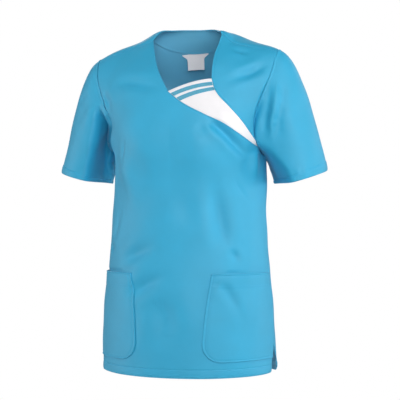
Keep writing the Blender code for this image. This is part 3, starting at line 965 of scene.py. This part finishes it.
# %% Front panel
front_lift = hem_profile(front_up) + side_roll(front_side, front_up)
front_lift = front_lift + behind_pocket(front_side, front_up) + armhole_crease(front_side, front_up)
is_neck = (front_across > -NECK_ACROSS) & (front_across < seam_across[0])
to_top = (front_top - front_up) * squarely(front_across * HALF_GIRTH, front_top)
front_lift = front_lift + np.where(front_across > -NECK_ACROSS, rolled_edge(to_top), seam_sink(to_top))
front_thick = CLOTH + hem_thickness(front_up) + turned_in(to_top) * is_neck[None, :]
right_front, front_points = panel(
    "right_front_panel", "front_main", "blue_twill", FRONT, front_side, front_up, front_lift, front_thick
)

# %% [markdown]
# The left chest is a separate piece: a long triangle from the shoulder and neck down to a point at
# the armhole. It could be drawn as a shape of its own, but then its curve would differ from the
# front's. So its lattice lies on the front's sheet, between its slanting edge and the armhole.

# %% Left chest panel
LEFT_NECK_LENGTH = 0.088
LEFT_SEAM_LENGTH = 0.156
LEFT_WIDTH = 0.13
insert_at = LEFT_FRONT_EDGE.index(INSERT_TOP)
left_neck, left_seam = LEFT_FRONT_EDGE[: insert_at + 1], LEFT_FRONT_EDGE[insert_at:]
neck_line = edge_line(left_neck, shares_down(LEFT_NECK_LENGTH, end=False))
seam_line = edge_line(left_seam, shares_down(LEFT_SEAM_LENGTH, start=False))
left_edge = np.concatenate([neck_line[0][:-1], seam_line[0]])[::-1, None]
left_up = np.concatenate([neck_line[1][:-1], seam_line[1]])[::-1, None]
left_up[-1] = FRONT_SHOULDER - SHOULDER_GAP / 2
left_edge = left_edge + SEAM_GAP / column(FRONT, "side_x", left_up)
left_limit = side_limit(left_up)
left_part = close_ends(44, LEFT_WIDTH)[None, :]
left_side = left_edge + left_part * (left_limit - left_edge)
from_edge = (left_side - left_edge) * HALF_GIRTH
from_edge = from_edge * squarely(left_up[:, 0], left_edge[:, 0] * HALF_GIRTH)[:, None]
left_lift = rolled_edge(from_edge) + side_roll(left_side, left_up)
left_lift = left_lift + armhole_crease(left_side, left_up) + seam_sink(left_up[-1] - left_up)
left_thick = CLOTH + turned_in(from_edge) * (left_up > neck_line[1][-1])
left_front, left_points = panel(
    "left_chest_panel", "front_left", "blue_twill", FRONT, left_side, left_up, left_lift, left_thick
)

# %% [markdown]
# The white insert fills the neck between the two fronts, and tapers to a point at the armhole. It
# could be a white area painted on the front, but a real one has its own seams. So it is a shell
# between the two cut edges. Two flat ribbons are sewn on its upper end, as shells of their own.

# %% White insert
INSERT_BOW = 0.0032  # how far its top edge bows up
INSERT_LOWER = 0.015  # its top starts this much further down on the left, as a share of the seam
INSERT_LENGTH = 0.19
INSERT_WIDTH = 0.09
insert_shares = np.linspace(0, 1, 121)
insert_right = edge_line(INSERT_SEAM, insert_shares)
insert_right[0][-1] = 1
insert_left = edge_line(left_seam, insert_shares)


def on_insert(right_part, left_part, between):
    """across and up on the insert: how far down its two edges, and the share between them."""
    right_at = [np.interp(right_part, insert_shares, line) for line in insert_right]
    left_at = [np.interp(left_part, insert_shares, line) for line in insert_left]
    across = right_at[0] + (left_at[0] - right_at[0]) * between
    up = right_at[1] + (left_at[1] - right_at[1]) * between
    bow = INSERT_BOW * (1 - right_part) ** 2 * 4 * between * (1 - between)
    return across, up + bow


insert_down = shares_down(INSERT_LENGTH, 0.0030)[::-1, None]
insert_between = close_ends(30, INSERT_WIDTH)[None, :]
insert_left_down = INSERT_LOWER + (1 - INSERT_LOWER) * insert_down
insert_across, insert_up = on_insert(insert_down, insert_left_down, insert_between)
insert_across = np.minimum(insert_across, side_limit(insert_up))
insert_wide = np.linalg.norm(
    surface(FRONT, insert_across[:, -1], insert_up[:, -1])
    - surface(FRONT, insert_across[:, 0], insert_up[:, 0]), axis=1
)[:, None]
insert_side = np.minimum(insert_between, 1 - insert_between) * insert_wide
insert_lift = seam_sink(insert_side) + side_roll(insert_across, insert_up)
insert_lift = insert_lift + armhole_crease(insert_across, insert_up)
insert_piece, insert_points = panel(
    "white_insert_panel", "insert", "white_twill", FRONT, insert_across, insert_up, insert_lift
)
insert_lengths = [length_along(insert_points[:, edge])[-1] for edge in (0, -1)]
print("insert edges", [round(v, 3) for v in insert_lengths])

# %% Ribbons
Ribbon = namedtuple("Ribbon", "name node right_start right_end left_start left_end")
RIBBONS = [
    Ribbon("upper_ribbon_band", "ribbon_upper", 0.0096, 0.0217, 0.0080, 0.0160),
    Ribbon("lower_ribbon_band", "ribbon_lower", 0.0303, 0.0432, 0.0202, 0.0284),
]
RIBBON_LIFT = 0.0009
RIBBON_THICK = 0.0006
RIBBON_WIDTH = 0.010


def on_ribbon(ribbon, share, between):
    """across and up on a ribbon: share runs from its upper edge to its lower one."""
    right = ribbon.right_start + (ribbon.right_end - ribbon.right_start) * share
    left = ribbon.left_start + (ribbon.left_end - ribbon.left_start) * share
    return on_insert(right / insert_lengths[0], left / insert_lengths[1] + INSERT_LOWER, between)


for ribbon in RIBBONS:
    share = 1 - close_ends(16, RIBBON_WIDTH)[:, None]
    between = 0.006 + 0.988 * close_ends(36, INSERT_WIDTH)[None, :]
    across, up = on_ribbon(ribbon, share, between)
    to_seam = np.minimum(between, 1 - between) * INSERT_WIDTH
    lift = RIBBON_LIFT + sink(to_seam, 0.4 * MM, 1.6 * MM)
    piece, _ = panel(ribbon.name, ribbon.node, "blue_ribbon", FRONT, across, up, lift, RIBBON_THICK)

# %% [markdown]
# The back is one panel. Its neckline is flat in the middle and steep at the sides. A cut with a
# boolean would leave a ragged edge, so the top row of the lattice follows a curve for the neckline.
# The corners of the side vents fall back a little, because nothing holds them.

# %% Back panel
BACK_NECK = 0.712
BACK_NECK_CURVE = 2.6
VENT_FALL = np.array([-0.001, 0.022, 0.006])  # sideways, back and up


def back_neckline(across):
    part = np.clip(np.abs(across) / NECK_ACROSS, 0, 1)
    return BACK_NECK + (BACK_SHOULDER - BACK_NECK) * part**BACK_NECK_CURVE


half_neck = np.sin(np.linspace(0, math.pi / 2, 30)) * NECK_ACROSS
neck_columns = np.concatenate([-half_neck[:0:-1], half_neck])
back_across = np.concatenate([shoulder_part, neck_columns, -shoulder_part[::-1]])
back_across = np.unique(np.round(back_across, 7))
back_top = back_neckline(back_across) - SHOULDER_GAP / 2
back_up = panel_rows(back_across, back_top, 78)
back_side = back_across[None, :] * (1 - SEAM_GAP / 2 / column(BACK, "side_x", back_up))
back_lift = hem_profile(back_up) + side_roll(back_side, back_up)
back_lift = back_lift + sink(back_top[None, :] - back_up, 0.4 * MM, 1.4 * MM)
in_vent = np.abs(back_side) ** 12 * smoothstep(1 - back_up / SLIT_TOP)
outwards = np.stack([np.sign(back_side), np.ones_like(back_side), np.ones_like(back_side)], axis=-1)
back_piece, back_points = panel(
    "back_panel", "back", "blue_twill", BACK, back_side, back_up, back_lift,
    CLOTH + hem_thickness(back_up), moved=VENT_FALL * outwards * in_vent[..., None], flip=True,
)

# %% [markdown]
# Inside the back neck a facing neatens the edge, and a bare woven label hangs below it. Both could
# be thickenings of the back, but on the real top they are cloths of their own, and their edges
# show. So each is a shell that lies a little inside the back's inner face.

# %% Facing
FACING_DEPTH = 0.041
FACING_FOOT = 0.669  # height of its lower edge at the middle
FACING_CURVE = 0.177
FACING_GAP = 0.0004
FACING_THICK = 0.0009
FACING_ROLL = 0.3 * MM  # how far its lower edge curls off the back
FACING_TALL = 0.04  # about its height, for the spacing of its lines
BELOW_EDGE = 0.0003  # how far it stays below the back's neckline

facing_reach = np.array([0.42, 0.46, 0.50])
facing_across = np.concatenate([-facing_reach[::-1], neck_columns, facing_reach])
facing_top = back_neckline(facing_across) - SHOULDER_GAP / 2 - BELOW_EDGE
facing_foot = FACING_FOOT + FACING_CURVE * facing_across**2
facing_rows = close_ends(20, FACING_TALL)[:, None]
facing_up = facing_foot + (facing_top - facing_foot) * facing_rows
facing_lift = -(CLOTH + FACING_GAP) + sink(facing_rows * FACING_TALL, FACING_ROLL, 3 * MM)
facing, _ = panel(
    "neck_facing_piece", "back_neck_facing", "blue_twill", BACK, facing_across, facing_up,
    facing_lift, FACING_THICK, flip=True,
)

# %% Label
LABEL_X = -0.006
LABEL_HEIGHT = 0.036
LABEL_TOP_HALF = 0.027
LABEL_HALF = 0.017
LABEL_STRAIGHT = 0.55  # share of its height, from the foot, where it has straight sides
LABEL_HANGS = 0.011  # how far its foot hangs off the back
LABEL_WIDTH = 0.04
LABEL_GAP = 0.0005
LABEL_THICK = 0.0006

label_top = BACK_NECK - FACING_DEPTH - 0.001
fraction = close_ends(34, LABEL_HEIGHT)[:, None]
flare = smoothstep((fraction - LABEL_STRAIGHT) / (1 - LABEL_STRAIGHT)) ** 2
half = LABEL_HALF + (LABEL_TOP_HALF - LABEL_HALF) * flare
label_across = LABEL_X + (2 * close_ends(30, LABEL_WIDTH)[None, :] - 1) * half
label_across = label_across / column(BACK, "side_x", label_top)
label_up = label_top - LABEL_HEIGHT * (1 - fraction)
off_back = LABEL_HANGS * (1 - fraction) ** 1.2
label, _ = panel(
    "bare_label", "label", "label_ribbon", BACK, label_across, label_up, -(CLOTH + LABEL_GAP),
    LABEL_THICK, moved=off_back[..., None] * [0, -1, 0], flip=True,
)

# %% [markdown]
# The patch pockets lie on the front and run into the side seams. A cloth copied from the front and
# pushed out would show no edge, so each pocket has its own outline, with a round lower corner, and
# its own lattice. The mouth stands a little off the front, because its hem is stiffer than the
# cloth behind it.

# %% Pocket outline
POCKET_BOTTOM = -0.6625
POCKET_INNER_TOP = 0.085
POCKET_INNER_BOTTOM = 0.069
POCKET_EASE = 1.6
POCKET_CORNER = 0.038
POCKET_OUTER = 0.985
POCKET_IN_VENT = 0.012  # how far it stays inside the open edge
POCKET_WIDTH = 0.14

corner_angle = np.linspace(0, math.pi / 2, 20)
tall = POCKET_TOP - POCKET_BOTTOM
straight = POCKET_CORNER + (tall - POCKET_CORNER) * close_ends(44, POCKET_WIDTH, start=False)[1:]
pocket_height = np.concatenate([POCKET_CORNER * (1 - np.cos(corner_angle)), straight])
pocket_inner = POCKET_INNER_BOTTOM + (POCKET_INNER_TOP - POCKET_INNER_BOTTOM) * (
    (pocket_height / tall) ** POCKET_EASE
)
pocket_inner[: len(corner_angle)] += POCKET_CORNER * (1 - np.sin(corner_angle))
pocket_edge_across, pocket_edge_up = locate(FRONT, pocket_inner, POCKET_BOTTOM + pocket_height)
pocket_outer_across = np.minimum(POCKET_OUTER, side_limit(pocket_edge_up) - POCKET_IN_VENT)
print("pockets are", round(tall, 3), "m deep")

# %% Pockets
POCKET_LIFT = 0.0016
MOUTH_GAPE = 0.0035
MOUTH_HEM = 0.030
MOUTH_STITCHES = (0.0245, 0.030)
POCKETS = ((-1, "right_patch_pocket", "pocket_right"), (1, "left_patch_pocket", "pocket_left"))


def pocket_out(part, height):
    """How far a pocket stands off the front: part runs from its inner edge to the side seam."""
    below_mouth = tall - height
    gape = np.exp(-((below_mouth / 0.028) ** 2)) * np.sin(math.pi * part**0.8) ** 0.8
    edge = np.minimum(part * POCKET_WIDTH, height + 0.0006)
    hem_groove = -0.5 * MM * np.exp(-(((below_mouth - MOUTH_HEM) / MM) ** 2))
    return POCKET_LIFT + MOUTH_GAPE * gape + rolled_edge(edge) + hem_groove + rolled_edge(below_mouth)


pocket_pieces = {}
for side, name, node in POCKETS:
    part, height = close_ends(46, POCKET_WIDTH)[None, :], pocket_height[:, None]
    pocket_wide = (pocket_outer_across - pocket_edge_across)[:, None]
    across = side * (pocket_edge_across[:, None] + part * pocket_wide)
    pocket_pieces[side], _ = panel(
        name, node, "blue_twill", FRONT, across, pocket_edge_up[:, None], pocket_out(part, height),
        CLOTH + turned_in(tall - height, MOUTH_HEM), flip=side < 0,
    )

# %% [markdown]
# A set-in sleeve is a tube that starts at the armhole and turns down along the arm. A plain tube
# pushed into the body would cut through it. Here the first ring is the panels' own edges, so the
# seam closes everywhere, and each point has its own curve from there to the cuff.

# %% Armhole and cuff
CUFF_X = 0.238
CUFF_Y = 0.020
CUFF_Z = -0.2925
CUFF_HALF_WIDTH = 0.055
CUFF_HALF_DEPTH = 0.060
CUFF_LEAN = math.radians(15)
LEAVE_SLOPE = math.radians(18)  # how steeply a sleeve leaves the shoulder
LEAVE_REACH = 0.54  # how far it keeps that direction, as a share of its length
ARRIVE_SLOPE = math.radians(76)  # how steeply it comes to the cuff
ARMHOLE_GAP = 0.0007
SLEEVE_LINE = 0.235  # about the length of a line down the sleeve
DIP = {1: 0.0075, -1: 0.0030}  # how far each sleeve dips beside the low front of its seam
CUFF_DIP = {1: 0.009, -1: 0.000}  # how much lower the front of each cuff hangs
FallBack = namedtuple("FallBack", "back aside rise ramp ease shares turns")
FALL_BACK = {  # the inner front falls back towards the body, from a line of turns down the sleeve
    1: FallBack(0.066, -0.018, 0.006, 54, 30, (0.1, 0.4, 0.65, 0.8, 0.95), (132, 112, 102, 94, 86)),
    -1: FallBack(0.066, -0.024, 0.006, 62, 34, (0.1, 0.2, 0.4, 0.64, 0.9), (62, 66, 78, 92, 102)),
}
CUFF_STITCHES = (12.5, 17.0)  # millimetres from the edge
HALF_ROUND = 66  # columns from the armpit to the shoulder tip


def even_points(line, count):
    length = length_along(line)
    at = np.linspace(0, length[-1], count + 1)
    return np.stack([np.interp(at, length, line[:, axis]) for axis in range(3)], axis=1)


def armhole(side):
    """The armhole from the armpit up the back, over the shoulder and down the front."""
    above = slice(len(side_rows) - 1, None)
    edge = -1 if side > 0 else 0
    front = [front_points[above, edge]]
    if side > 0:
        front += [insert_points[:1, -1], left_points[:, -1]]
    back = even_points(back_points[above, edge], HALF_ROUND)
    front = even_points(np.vstack(front), HALF_ROUND)
    middle = (back[[0, -1]] + front[[0, -1]]) / 2
    back[[0, -1]] = middle
    front[[0, -1]] = middle
    return np.vstack([back, front[-2::-1]])


print("the sleeves are", 2 * HALF_ROUND, "columns round")

# %% Folds on the sleeves
LEFT_SLEEVE_FOLDS = [  # paths: degrees from the shoulder tip towards the front, share of the length
    Fold([(35, 0.09), (60, 0.23), (84, 0.34), (100, 0.46)], 7.5, 7, 0.3, 0.4),
    Fold([(47, 0.20), (55, 0.49), (63, 0.80)], 3.0, 15, 0.4, 0.5),
    Fold([(76, 0.84), (75, 0.97)], 2.0, 5, 0.5, 0.3),
    Fold([(62, 0.87), (66, 0.98)], 1.8, 5, 0.5, 0.3),
    Fold([(-62, 0.12), (-58, 0.6)], 4.5, 10, 0.4, 0.5),
    Fold([(-118, 0.15), (-124, 0.7), (-112, 1.0)], 6.0, 15, 0.4, 0.3),
]
RIGHT_SLEEVE_FOLDS = [
    Fold([(62, 0.12), (66, 0.55)], 2.2, 9, 0.4, 0.5),
    Fold([(66, 0.03), (100, 0.07), (135, 0.09), (165, 0.11)], 8.0, 8, 0.25, 0.2),
    Fold([(30, 0.22), (36, 0.42)], -1.8, 8, 0.5, 0.5),
    Fold([(-60, 0.12), (-62, 0.62)], 4.5, 10, 0.4, 0.5),
    Fold([(-118, 0.15), (-126, 0.7), (-114, 1.0)], 6.0, 15, 0.4, 0.3),
]
print(len(LEFT_SLEEVE_FOLDS), "folds on the left sleeve,", len(RIGHT_SLEEVE_FOLDS), "on the right")


# %% Helpers for a tube
def ring_at(values, shares, share):
    """One closed line round a tube, at a share of its length."""
    row = int(np.clip(np.searchsorted(shares, share) - 1, 0, len(shares) - 2))
    f = (share - shares[row]) / (shares[row + 1] - shares[row])
    line = values[row] * (1 - f) + values[row + 1] * f
    return np.vstack([line, line[:1]])


def out_of_sleeve(points, side):
    """Directions out of a sleeve, from its own lattice."""
    round_it = np.roll(points, -1, axis=1) - np.roll(points, 1, axis=1)
    along = np.gradient(points, axis=0)
    return unit(np.cross(along, round_it)) * -side


def bend(starts, ends, leave, arrive, share):
    """Curves from the points starts to ends that leave and arrive in given directions."""
    curve = starts * (1 + 2 * share) * (1 - share) ** 2 + leave * share * (1 - share) ** 2
    return curve + ends * share**2 * (3 - 2 * share) + arrive * share**2 * (share - 1)


print("halfway along a bend:", bend(0.0, 1.0, 1.0, 1.0, 0.5))


# %% Rings of a sleeve
def fallen_back(side, shares, turn):
    """How much each point of the inner half of the front falls back towards the body."""
    fall = FALL_BACK[side]
    starts = np.interp(shares, fall.shares, fall.turns)[:, None]
    low = smoothstep((shares[:, None] - 0.3) / 0.45)  # near the cuff the underarm goes back with it
    inner = smoothstep((turn - starts) / fall.ramp)
    inner = inner * (low + (1 - low) * smoothstep((180 - turn) / fall.ease))
    inner = np.where(turn < 0, low * smoothstep((-turn - 115) / 65), inner)
    return inner * smoothstep(shares[:, None] / 0.16)


def sleeve_rings(side):
    top = armhole(side)
    count = len(top) - 1
    angle = math.pi * (np.linspace(0, 2, count + 1) - 1)
    outwards = np.array([side * math.cos(CUFF_LEAN), 0, math.sin(CUFF_LEAN)])
    forwards = np.array([0, -1, 0])
    cuff = np.array([side * CUFF_X, CUFF_Y, CUFF_Z])
    cuff = cuff + CUFF_HALF_WIDTH * np.cos(angle)[:, None] * outwards
    cuff = cuff + CUFF_HALF_DEPTH * np.sin(angle)[:, None] * forwards
    cuff[:, 2] -= CUFF_DIP[side] * np.sin(angle)
    length = np.linalg.norm(cuff - top, axis=1)[:, None]
    leave = np.array([side * math.cos(LEAVE_SLOPE), 0, -math.sin(LEAVE_SLOPE)])
    leave = LEAVE_REACH * length * leave
    arrive = length * np.array([side * math.cos(ARRIVE_SLOPE), 0, -math.sin(ARRIVE_SLOPE)])
    top = top + ARMHOLE_GAP * unit(leave)
    close, hem = CLOSE / SLEEVE_LINE, 1 - hem_rows[::-1] / SLEEVE_LINE
    shares = np.concatenate([close, np.linspace(close[-1], hem[0], 62)[1:-1], hem])
    rings = bend(top, cuff, leave, arrive, shares[:, None, None])
    turn = np.degrees(angle)
    inner = fallen_back(side, shares, turn[None, :])
    fall = FALL_BACK[side]
    rings = rings + inner[..., None] * [fall.aside, fall.back, fall.rise]
    return rings, shares, turn


print("hem lines on a sleeve:", len(hem_rows))


# %% Surface of a sleeve
def sleeve_lift(side, folds, rings, shares, turn):
    """How far each point of a sleeve lies out of its plain form."""
    points = rings[:, :-1]
    out = unevenness(points)
    for fold in folds:
        fold_turn, fold_share = fold_path(fold)
        row = np.interp(fold_share, shares, np.arange(len(shares)))
        col = np.interp(fold_turn, turn, np.arange(len(turn)))
        line = rings[np.round(row).astype(int), np.round(col).astype(int)]
        out = out + fold_lift(points, line, fold)
    turn = turn[:-1]
    from_top = shares[:, None] * SLEEVE_LINE
    to_seam = (180 - np.abs(turn)) * MM  # the sleeve is about 360 mm round
    out = out + sink(from_top, 0.5 * MM, 1.6 * MM) + hem_profile(SLEEVE_LINE - from_top)
    out = out + sink(to_seam, 0.7 * MM, 1.6 * MM)
    # beside its seam it lies a little hollow, more so low on the back and low on the front
    back_low = smoothstep((-turn - 45) / 45) * smoothstep((178 + turn) / 30)
    hollow = (1.6 + 4.0 * back_low) * MM * smoothstep(from_top / 0.009)
    out = out + sink(from_top, hollow, 0.030 + 0.016 * back_low)
    front_low = smoothstep((turn - 70) / 30) * smoothstep((178 - turn) / 20)
    out = out + sink(from_top, DIP[side] * front_low * smoothstep(from_top / 0.007), 0.020)
    if side > 0:  # it comes up again beside the crease
        beside_crease = smoothstep((turn - 88) / 35) * smoothstep((180 - turn) / 14)
        wall = (CREASE + sink(from_top, CREASE, CREASE_HALF)) * (1 - shares[:, None]) ** 2
        out = out + beside_crease * wall
    return out


print("beside its seam a sleeve dips by", DIP, "m")


# %% Sleeves
def make_sleeve(side, name, node, folds):
    rings, shares, turn = sleeve_rings(side)
    normal = out_of_sleeve(rings[:, :-1], side)
    out = sleeve_lift(side, folds, rings, shares, turn)
    thick = CLOTH + hem_thickness((1 - shares[:, None]) * SLEEVE_LINE)
    points = rings[:, :-1] + normal * (out + thick)[..., None]
    length = np.linalg.norm(np.diff(rings, axis=0), axis=2).mean(axis=1)
    down = np.concatenate([[0], np.cumsum(length)])
    girth = np.linalg.norm(np.diff(rings, axis=1), axis=2).sum(axis=1)
    cut_u = np.linspace(0, 1, len(turn))[None, :] * girth.mean() + 0 * down[:, None]
    cut = np.stack([cut_u, -down[:, None] + 0 * cut_u], axis=-1)
    piece = cloth(name, points, normal, thick, cut, flip=side < 0, tube=True)
    print(name, "cuff round", round(girth[-1], 3), "m, line", round(down[-1], 3), "m")
    cuff_lines = [
        [ring_at(values, shares, 1 - distance * MM / SLEEVE_LINE) for values in (points, normal)]
        for distance in CUFF_STITCHES
    ]
    return finish_piece(piece, "blue_twill", node), cuff_lines


left_sleeve, left_cuff_lines = make_sleeve(1, "left_arm_sleeve", "sleeve_left", LEFT_SLEEVE_FOLDS)
right_sleeve, right_cuff_lines = make_sleeve(-1, "right_arm_sleeve", "sleeve_right", RIGHT_SLEEVE_FOLDS)

# %% [markdown]
# Stitches hold the pieces together and show as short threads. A dashed texture would look flat
# from near, so each stitch is a small closed thread that dips into the cloth at both ends. All
# the stitches of one piece of cloth are one mesh, which keeps the scene light.

# %% Stitch shape
STITCH = 2.6 * MM
STITCH_GAP = 0.8 * MM
STITCH_STEP = STITCH + STITCH_GAP
THREAD = 0.25 * MM  # half the width of a stitch
THREAD_SIDES = 6
StitchRing = namedtuple("StitchRing", "along girth rise")
STITCH_RINGS = [
    StitchRing(0.00, 0.40, -1.5),
    StitchRing(0.16, 0.90, 0.0),
    StitchRing(0.50, 1.00, 0.3),
    StitchRing(0.84, 0.90, 0.0),
    StitchRing(1.00, 0.40, -1.5),
]


def stitch_ends(line):
    """The start and end of each stitch along a line, and the direction out of the cloth."""
    points, normals = line
    length = length_along(points)
    count = int(length[-1] / STITCH_STEP)
    first = (np.arange(count) + 0.5) * length[-1] / count - STITCH / 2
    picks = (points, first), (points, first + STITCH), (normals, first + STITCH / 2)
    return [
        np.stack([np.interp(at, length, values[:, axis]) for axis in range(3)], axis=1)
        for values, at in picks
    ]


print("a stitch every", round(STITCH_STEP / MM, 1), "mm")


# %% Sewing
def sew(name, lines, slot="blue_twill", material=thread_material):
    """All the stitches along some lines, as one piece."""
    start, end, out = (np.vstack(part) for part in zip(*[stitch_ends(line) for line in lines]))
    along = end - start
    side = unit(np.cross(along, out))
    out = unit(np.cross(side, along))
    turn = 2 * math.pi * np.arange(THREAD_SIDES) / THREAD_SIDES
    round_it = side[:, None] * np.cos(turn)[:, None] + out[:, None] * np.sin(turn)[:, None]
    rings = []
    for ring in STITCH_RINGS:
        middle = start + along * ring.along + out * (ring.rise * THREAD)
        rings.append(middle[:, None] + ring.girth * THREAD * round_it)
    points = np.stack(rings, axis=1)
    number = np.arange(points[..., 0].size).reshape(points.shape[:3])
    after = np.roll(number, -1, axis=2)
    sides = np.stack([number[:, :-1], number[:, 1:], after[:, 1:], after[:, :-1]], axis=-1)
    caps = np.concatenate([number[:, 0], number[:, -1, ::-1]])
    faces = sides.reshape(-1, 4).tolist() + caps.tolist()
    at_length = np.array([ring.along for ring in STITCH_RINGS]) * STITCH
    flat = np.stack(np.broadcast_arrays(
        at_length[None, :, None] + STITCH_STEP * np.arange(len(points))[:, None, None],
        turn[None, None, :] * THREAD,
    ), axis=-1).reshape(-1, 2)
    corners = flat[np.concatenate([np.array(face) for face in (sides.reshape(-1), caps.reshape(-1))])]
    piece = new_piece(name, points.reshape(-1, 3), faces, corners)
    print(name, len(points), "stitches")
    return finish_piece(piece, slot, material=material)


print("thread is", round(2 * THREAD / MM, 1), "mm thick")

# %% Stitch lines on the body
EDGE_STITCH = 2.3 * MM
STITCH_GAPS = (EDGE_STITCH, 7.5 * MM)
VENT_STITCH = 6 * MM
LINE = np.linspace(0, 1, 161)
ACROSS_INSERT = LINE * 0.96 + 0.02  # stops short of the seams on both sides


def beside(sections, line, distance):
    """A line that keeps its distance from another, on its left where the distance is positive."""
    across, up = line
    girth = np.interp(up, *GIRTH[key_of(sections)])
    flat = np.stack([across * girth, up], axis=1)
    way = unit(np.gradient(flat, axis=0))
    moved = flat + distance * np.stack([-way[:, 1], way[:, 0]], axis=1)
    return moved[:, 0] / girth, moved[:, 1]


def on_body(sections, line, lift=0.0):
    across, up = line
    return dress(sections, across, up, hem_profile(up) + side_roll(across, up) + lift)


def hem_line(sections):
    limit = side_limit(HEM) if sections is FRONT else 1
    across = np.linspace(-limit, limit, 321) * 0.985
    return on_body(sections, (across, np.full_like(across, HEM)))


def vent_lines(sections):
    up = np.linspace(HEM + 2 * MM, SLIT_TOP + 4 * MM, 60)
    limit = side_limit(up) if sections is FRONT else np.ones_like(up)
    return [on_body(sections, (side * (limit - VENT_STITCH / HALF_GIRTH), up)) for side in (-1, 1)]


def shoulder_lines(side):
    across = side * np.linspace(NECK_ACROSS + 0.02, 0.97, 121)
    lines = [(across, np.full_like(across, FRONT_SHOULDER - gap)) for gap in STITCH_GAPS]
    return [on_body(FRONT, line) for line in lines]


print("edge stitches lie", STITCH_GAPS, "m from the edge")

# %% Stitches on the panels
right_neck_line = edge_line(RIGHT_NECK_EDGE, LINE)
left_neck_line = edge_line(left_neck, LINE)
insert_seam_line = edge_line(INSERT_SEAM, LINE * 0.97)
left_seam_line = edge_line(left_seam, LINE * 0.96)
front_stitches = sew("right_front_stitches", [
    on_body(FRONT, beside(FRONT, right_neck_line, -EDGE_STITCH)),
    on_body(FRONT, beside(FRONT, insert_seam_line, -EDGE_STITCH)),
    hem_line(FRONT), *vent_lines(FRONT), *shoulder_lines(-1),
])
left_stitches = sew("left_chest_stitches", [
    on_body(FRONT, beside(FRONT, left_neck_line, EDGE_STITCH)),
    on_body(FRONT, beside(FRONT, left_seam_line, EDGE_STITCH)),
    *shoulder_lines(1),
])
FACING_STITCH = 4 * MM
back_neck_across = np.linspace(-0.97, 0.97, 241) * NECK_ACROSS
facing_line_across = np.linspace(-0.44, 0.44, 241)
facing_line_up = FACING_FOOT + FACING_STITCH + FACING_CURVE * facing_line_across**2
back_stitches = sew("back_stitches", [
    on_body(BACK, beside(BACK, (back_neck_across, back_neckline(back_neck_across)), -EDGE_STITCH)),
    on_body(BACK, (facing_line_across, facing_line_up)),
    hem_line(BACK), *vent_lines(BACK),
])

# %% Stitch lines on the small pieces
facing_stitch_points, facing_stitch_out = dress(
    BACK, facing_line_across, facing_line_up,
    -(CLOTH + FACING_GAP + FACING_THICK) + sink(FACING_STITCH, FACING_ROLL, 3 * MM),
)
facing_stitches = sew("neck_facing_stitches", [(facing_stitch_points, -facing_stitch_out)])
TOP_STITCH = 3 * MM
RIBBON_STITCHES = (0.14, 0.86)  # shares of a ribbon's width
insert_top_line = on_insert(
    TOP_STITCH / insert_lengths[0], TOP_STITCH / insert_lengths[1] + INSERT_LOWER, ACROSS_INSERT
)
white_thread = woven("white_thread", WHITE, rib=0.0004, slant=20)
insert_stitches = sew(
    "white_insert_stitches", [on_body(FRONT, insert_top_line)], "white_twill", white_thread
)
for ribbon in RIBBONS:
    lines = []
    for share in RIBBON_STITCHES:
        lines.append(on_body(FRONT, on_ribbon(ribbon, share, ACROSS_INSERT), RIBBON_LIFT))
    sew(ribbon.name + "_stitches", lines, "blue_ribbon")

# %% Stitches on the pockets and cuffs
bottom_across = run(pocket_edge_across[0] + 0.02, pocket_outer_across[0], 0.02)
pocket_outline = (  # from the mouth down the inner edge and along the bottom
    np.concatenate([pocket_edge_across[::-1], bottom_across]),
    np.concatenate([pocket_edge_up[::-1], np.full(len(bottom_across), pocket_edge_up[0])]),
)
POCKET_SHAPE = (pocket_height, pocket_edge_across, pocket_outer_across)
MOUTH_LINE = np.linspace(0.01, 0.99, 120)
for side, name in ((-1, "right_pocket_stitches"), (1, "left_pocket_stitches")):
    lines = []
    for gap in STITCH_GAPS:
        across, up = beside(FRONT, pocket_outline, gap)
        height, inner, outer = (np.interp(up, pocket_edge_up, values) for values in POCKET_SHAPE)
        part = np.clip((across - inner) / (outer - inner), 0, 1)
        lines.append(dress(FRONT, side * across, up, pocket_out(part, height)))
    for gap in MOUTH_STITCHES:
        up = np.interp(tall - gap, pocket_height, pocket_edge_up) + 0 * MOUTH_LINE
        height, inner, outer = (np.interp(up, pocket_edge_up, values) for values in POCKET_SHAPE)
        across = inner + MOUTH_LINE * (outer - inner)
        lines.append(dress(FRONT, side * across, up, pocket_out(MOUTH_LINE, height)))
    sew(name, lines)
left_cuff_stitches = sew("left_cuff_stitches", left_cuff_lines)
right_cuff_stitches = sew("right_cuff_stitches", right_cuff_lines)

# %% [markdown]
# A record of what a sheet was cut to: the piece, its flat width and length, its area, how it is
# held, what it rests on and its stitches. No sheet is given one here. The sizes would be those of
# the flat pattern, since cloth that is sewn and worn has hardly stretched.

# %% A record for cut sizes
Cut = namedtuple("Cut", "piece wide long area held rests_on stitches")

# %% [markdown]
# The photograph shows no floor, and a garment that hangs in the air needs none. For the views from
# above there is a plain pale disc, far enough below to throw hardly any light back on the cloth.

# %% Floor
FLOOR_RADIUS = 1.7
FLOOR_Z = -1.45
FLOOR_SIDES = 96
angles = np.linspace(0, 2 * math.pi, FLOOR_SIDES, endpoint=False)
ring = np.stack([FLOOR_RADIUS * np.cos(angles), FLOOR_RADIUS * np.sin(angles)], axis=1)
floor_mesh = bpy.data.meshes.new("floor")
floor_mesh.from_pydata([(*p, FLOOR_Z) for p in ring.tolist()], [], [list(range(FLOOR_SIDES))])
floor = bpy.data.objects.new("floor", floor_mesh)
scene.collection.objects.link(floor)
floor_material, _, floor_shader = plain_shader("pale_floor", 0.9, 0.0)
floor_shader.inputs["Base Color"].default_value = (0.86, 0.86, 0.87, 1)
floor_mesh.materials.append(floor_material)
floor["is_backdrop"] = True
print("floor at", FLOOR_Z)

# %% [markdown]
# The cloth's own box is written beside the CAD box, to see that the looks haven't outgrown the
# solids.

# %% Sizes and finish
cloth_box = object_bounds()
for key, box in (("CAD", cad_box), ("cloth", cloth_box)):
    print(key, [[round(v, 4) for v in corner] for corner in box])
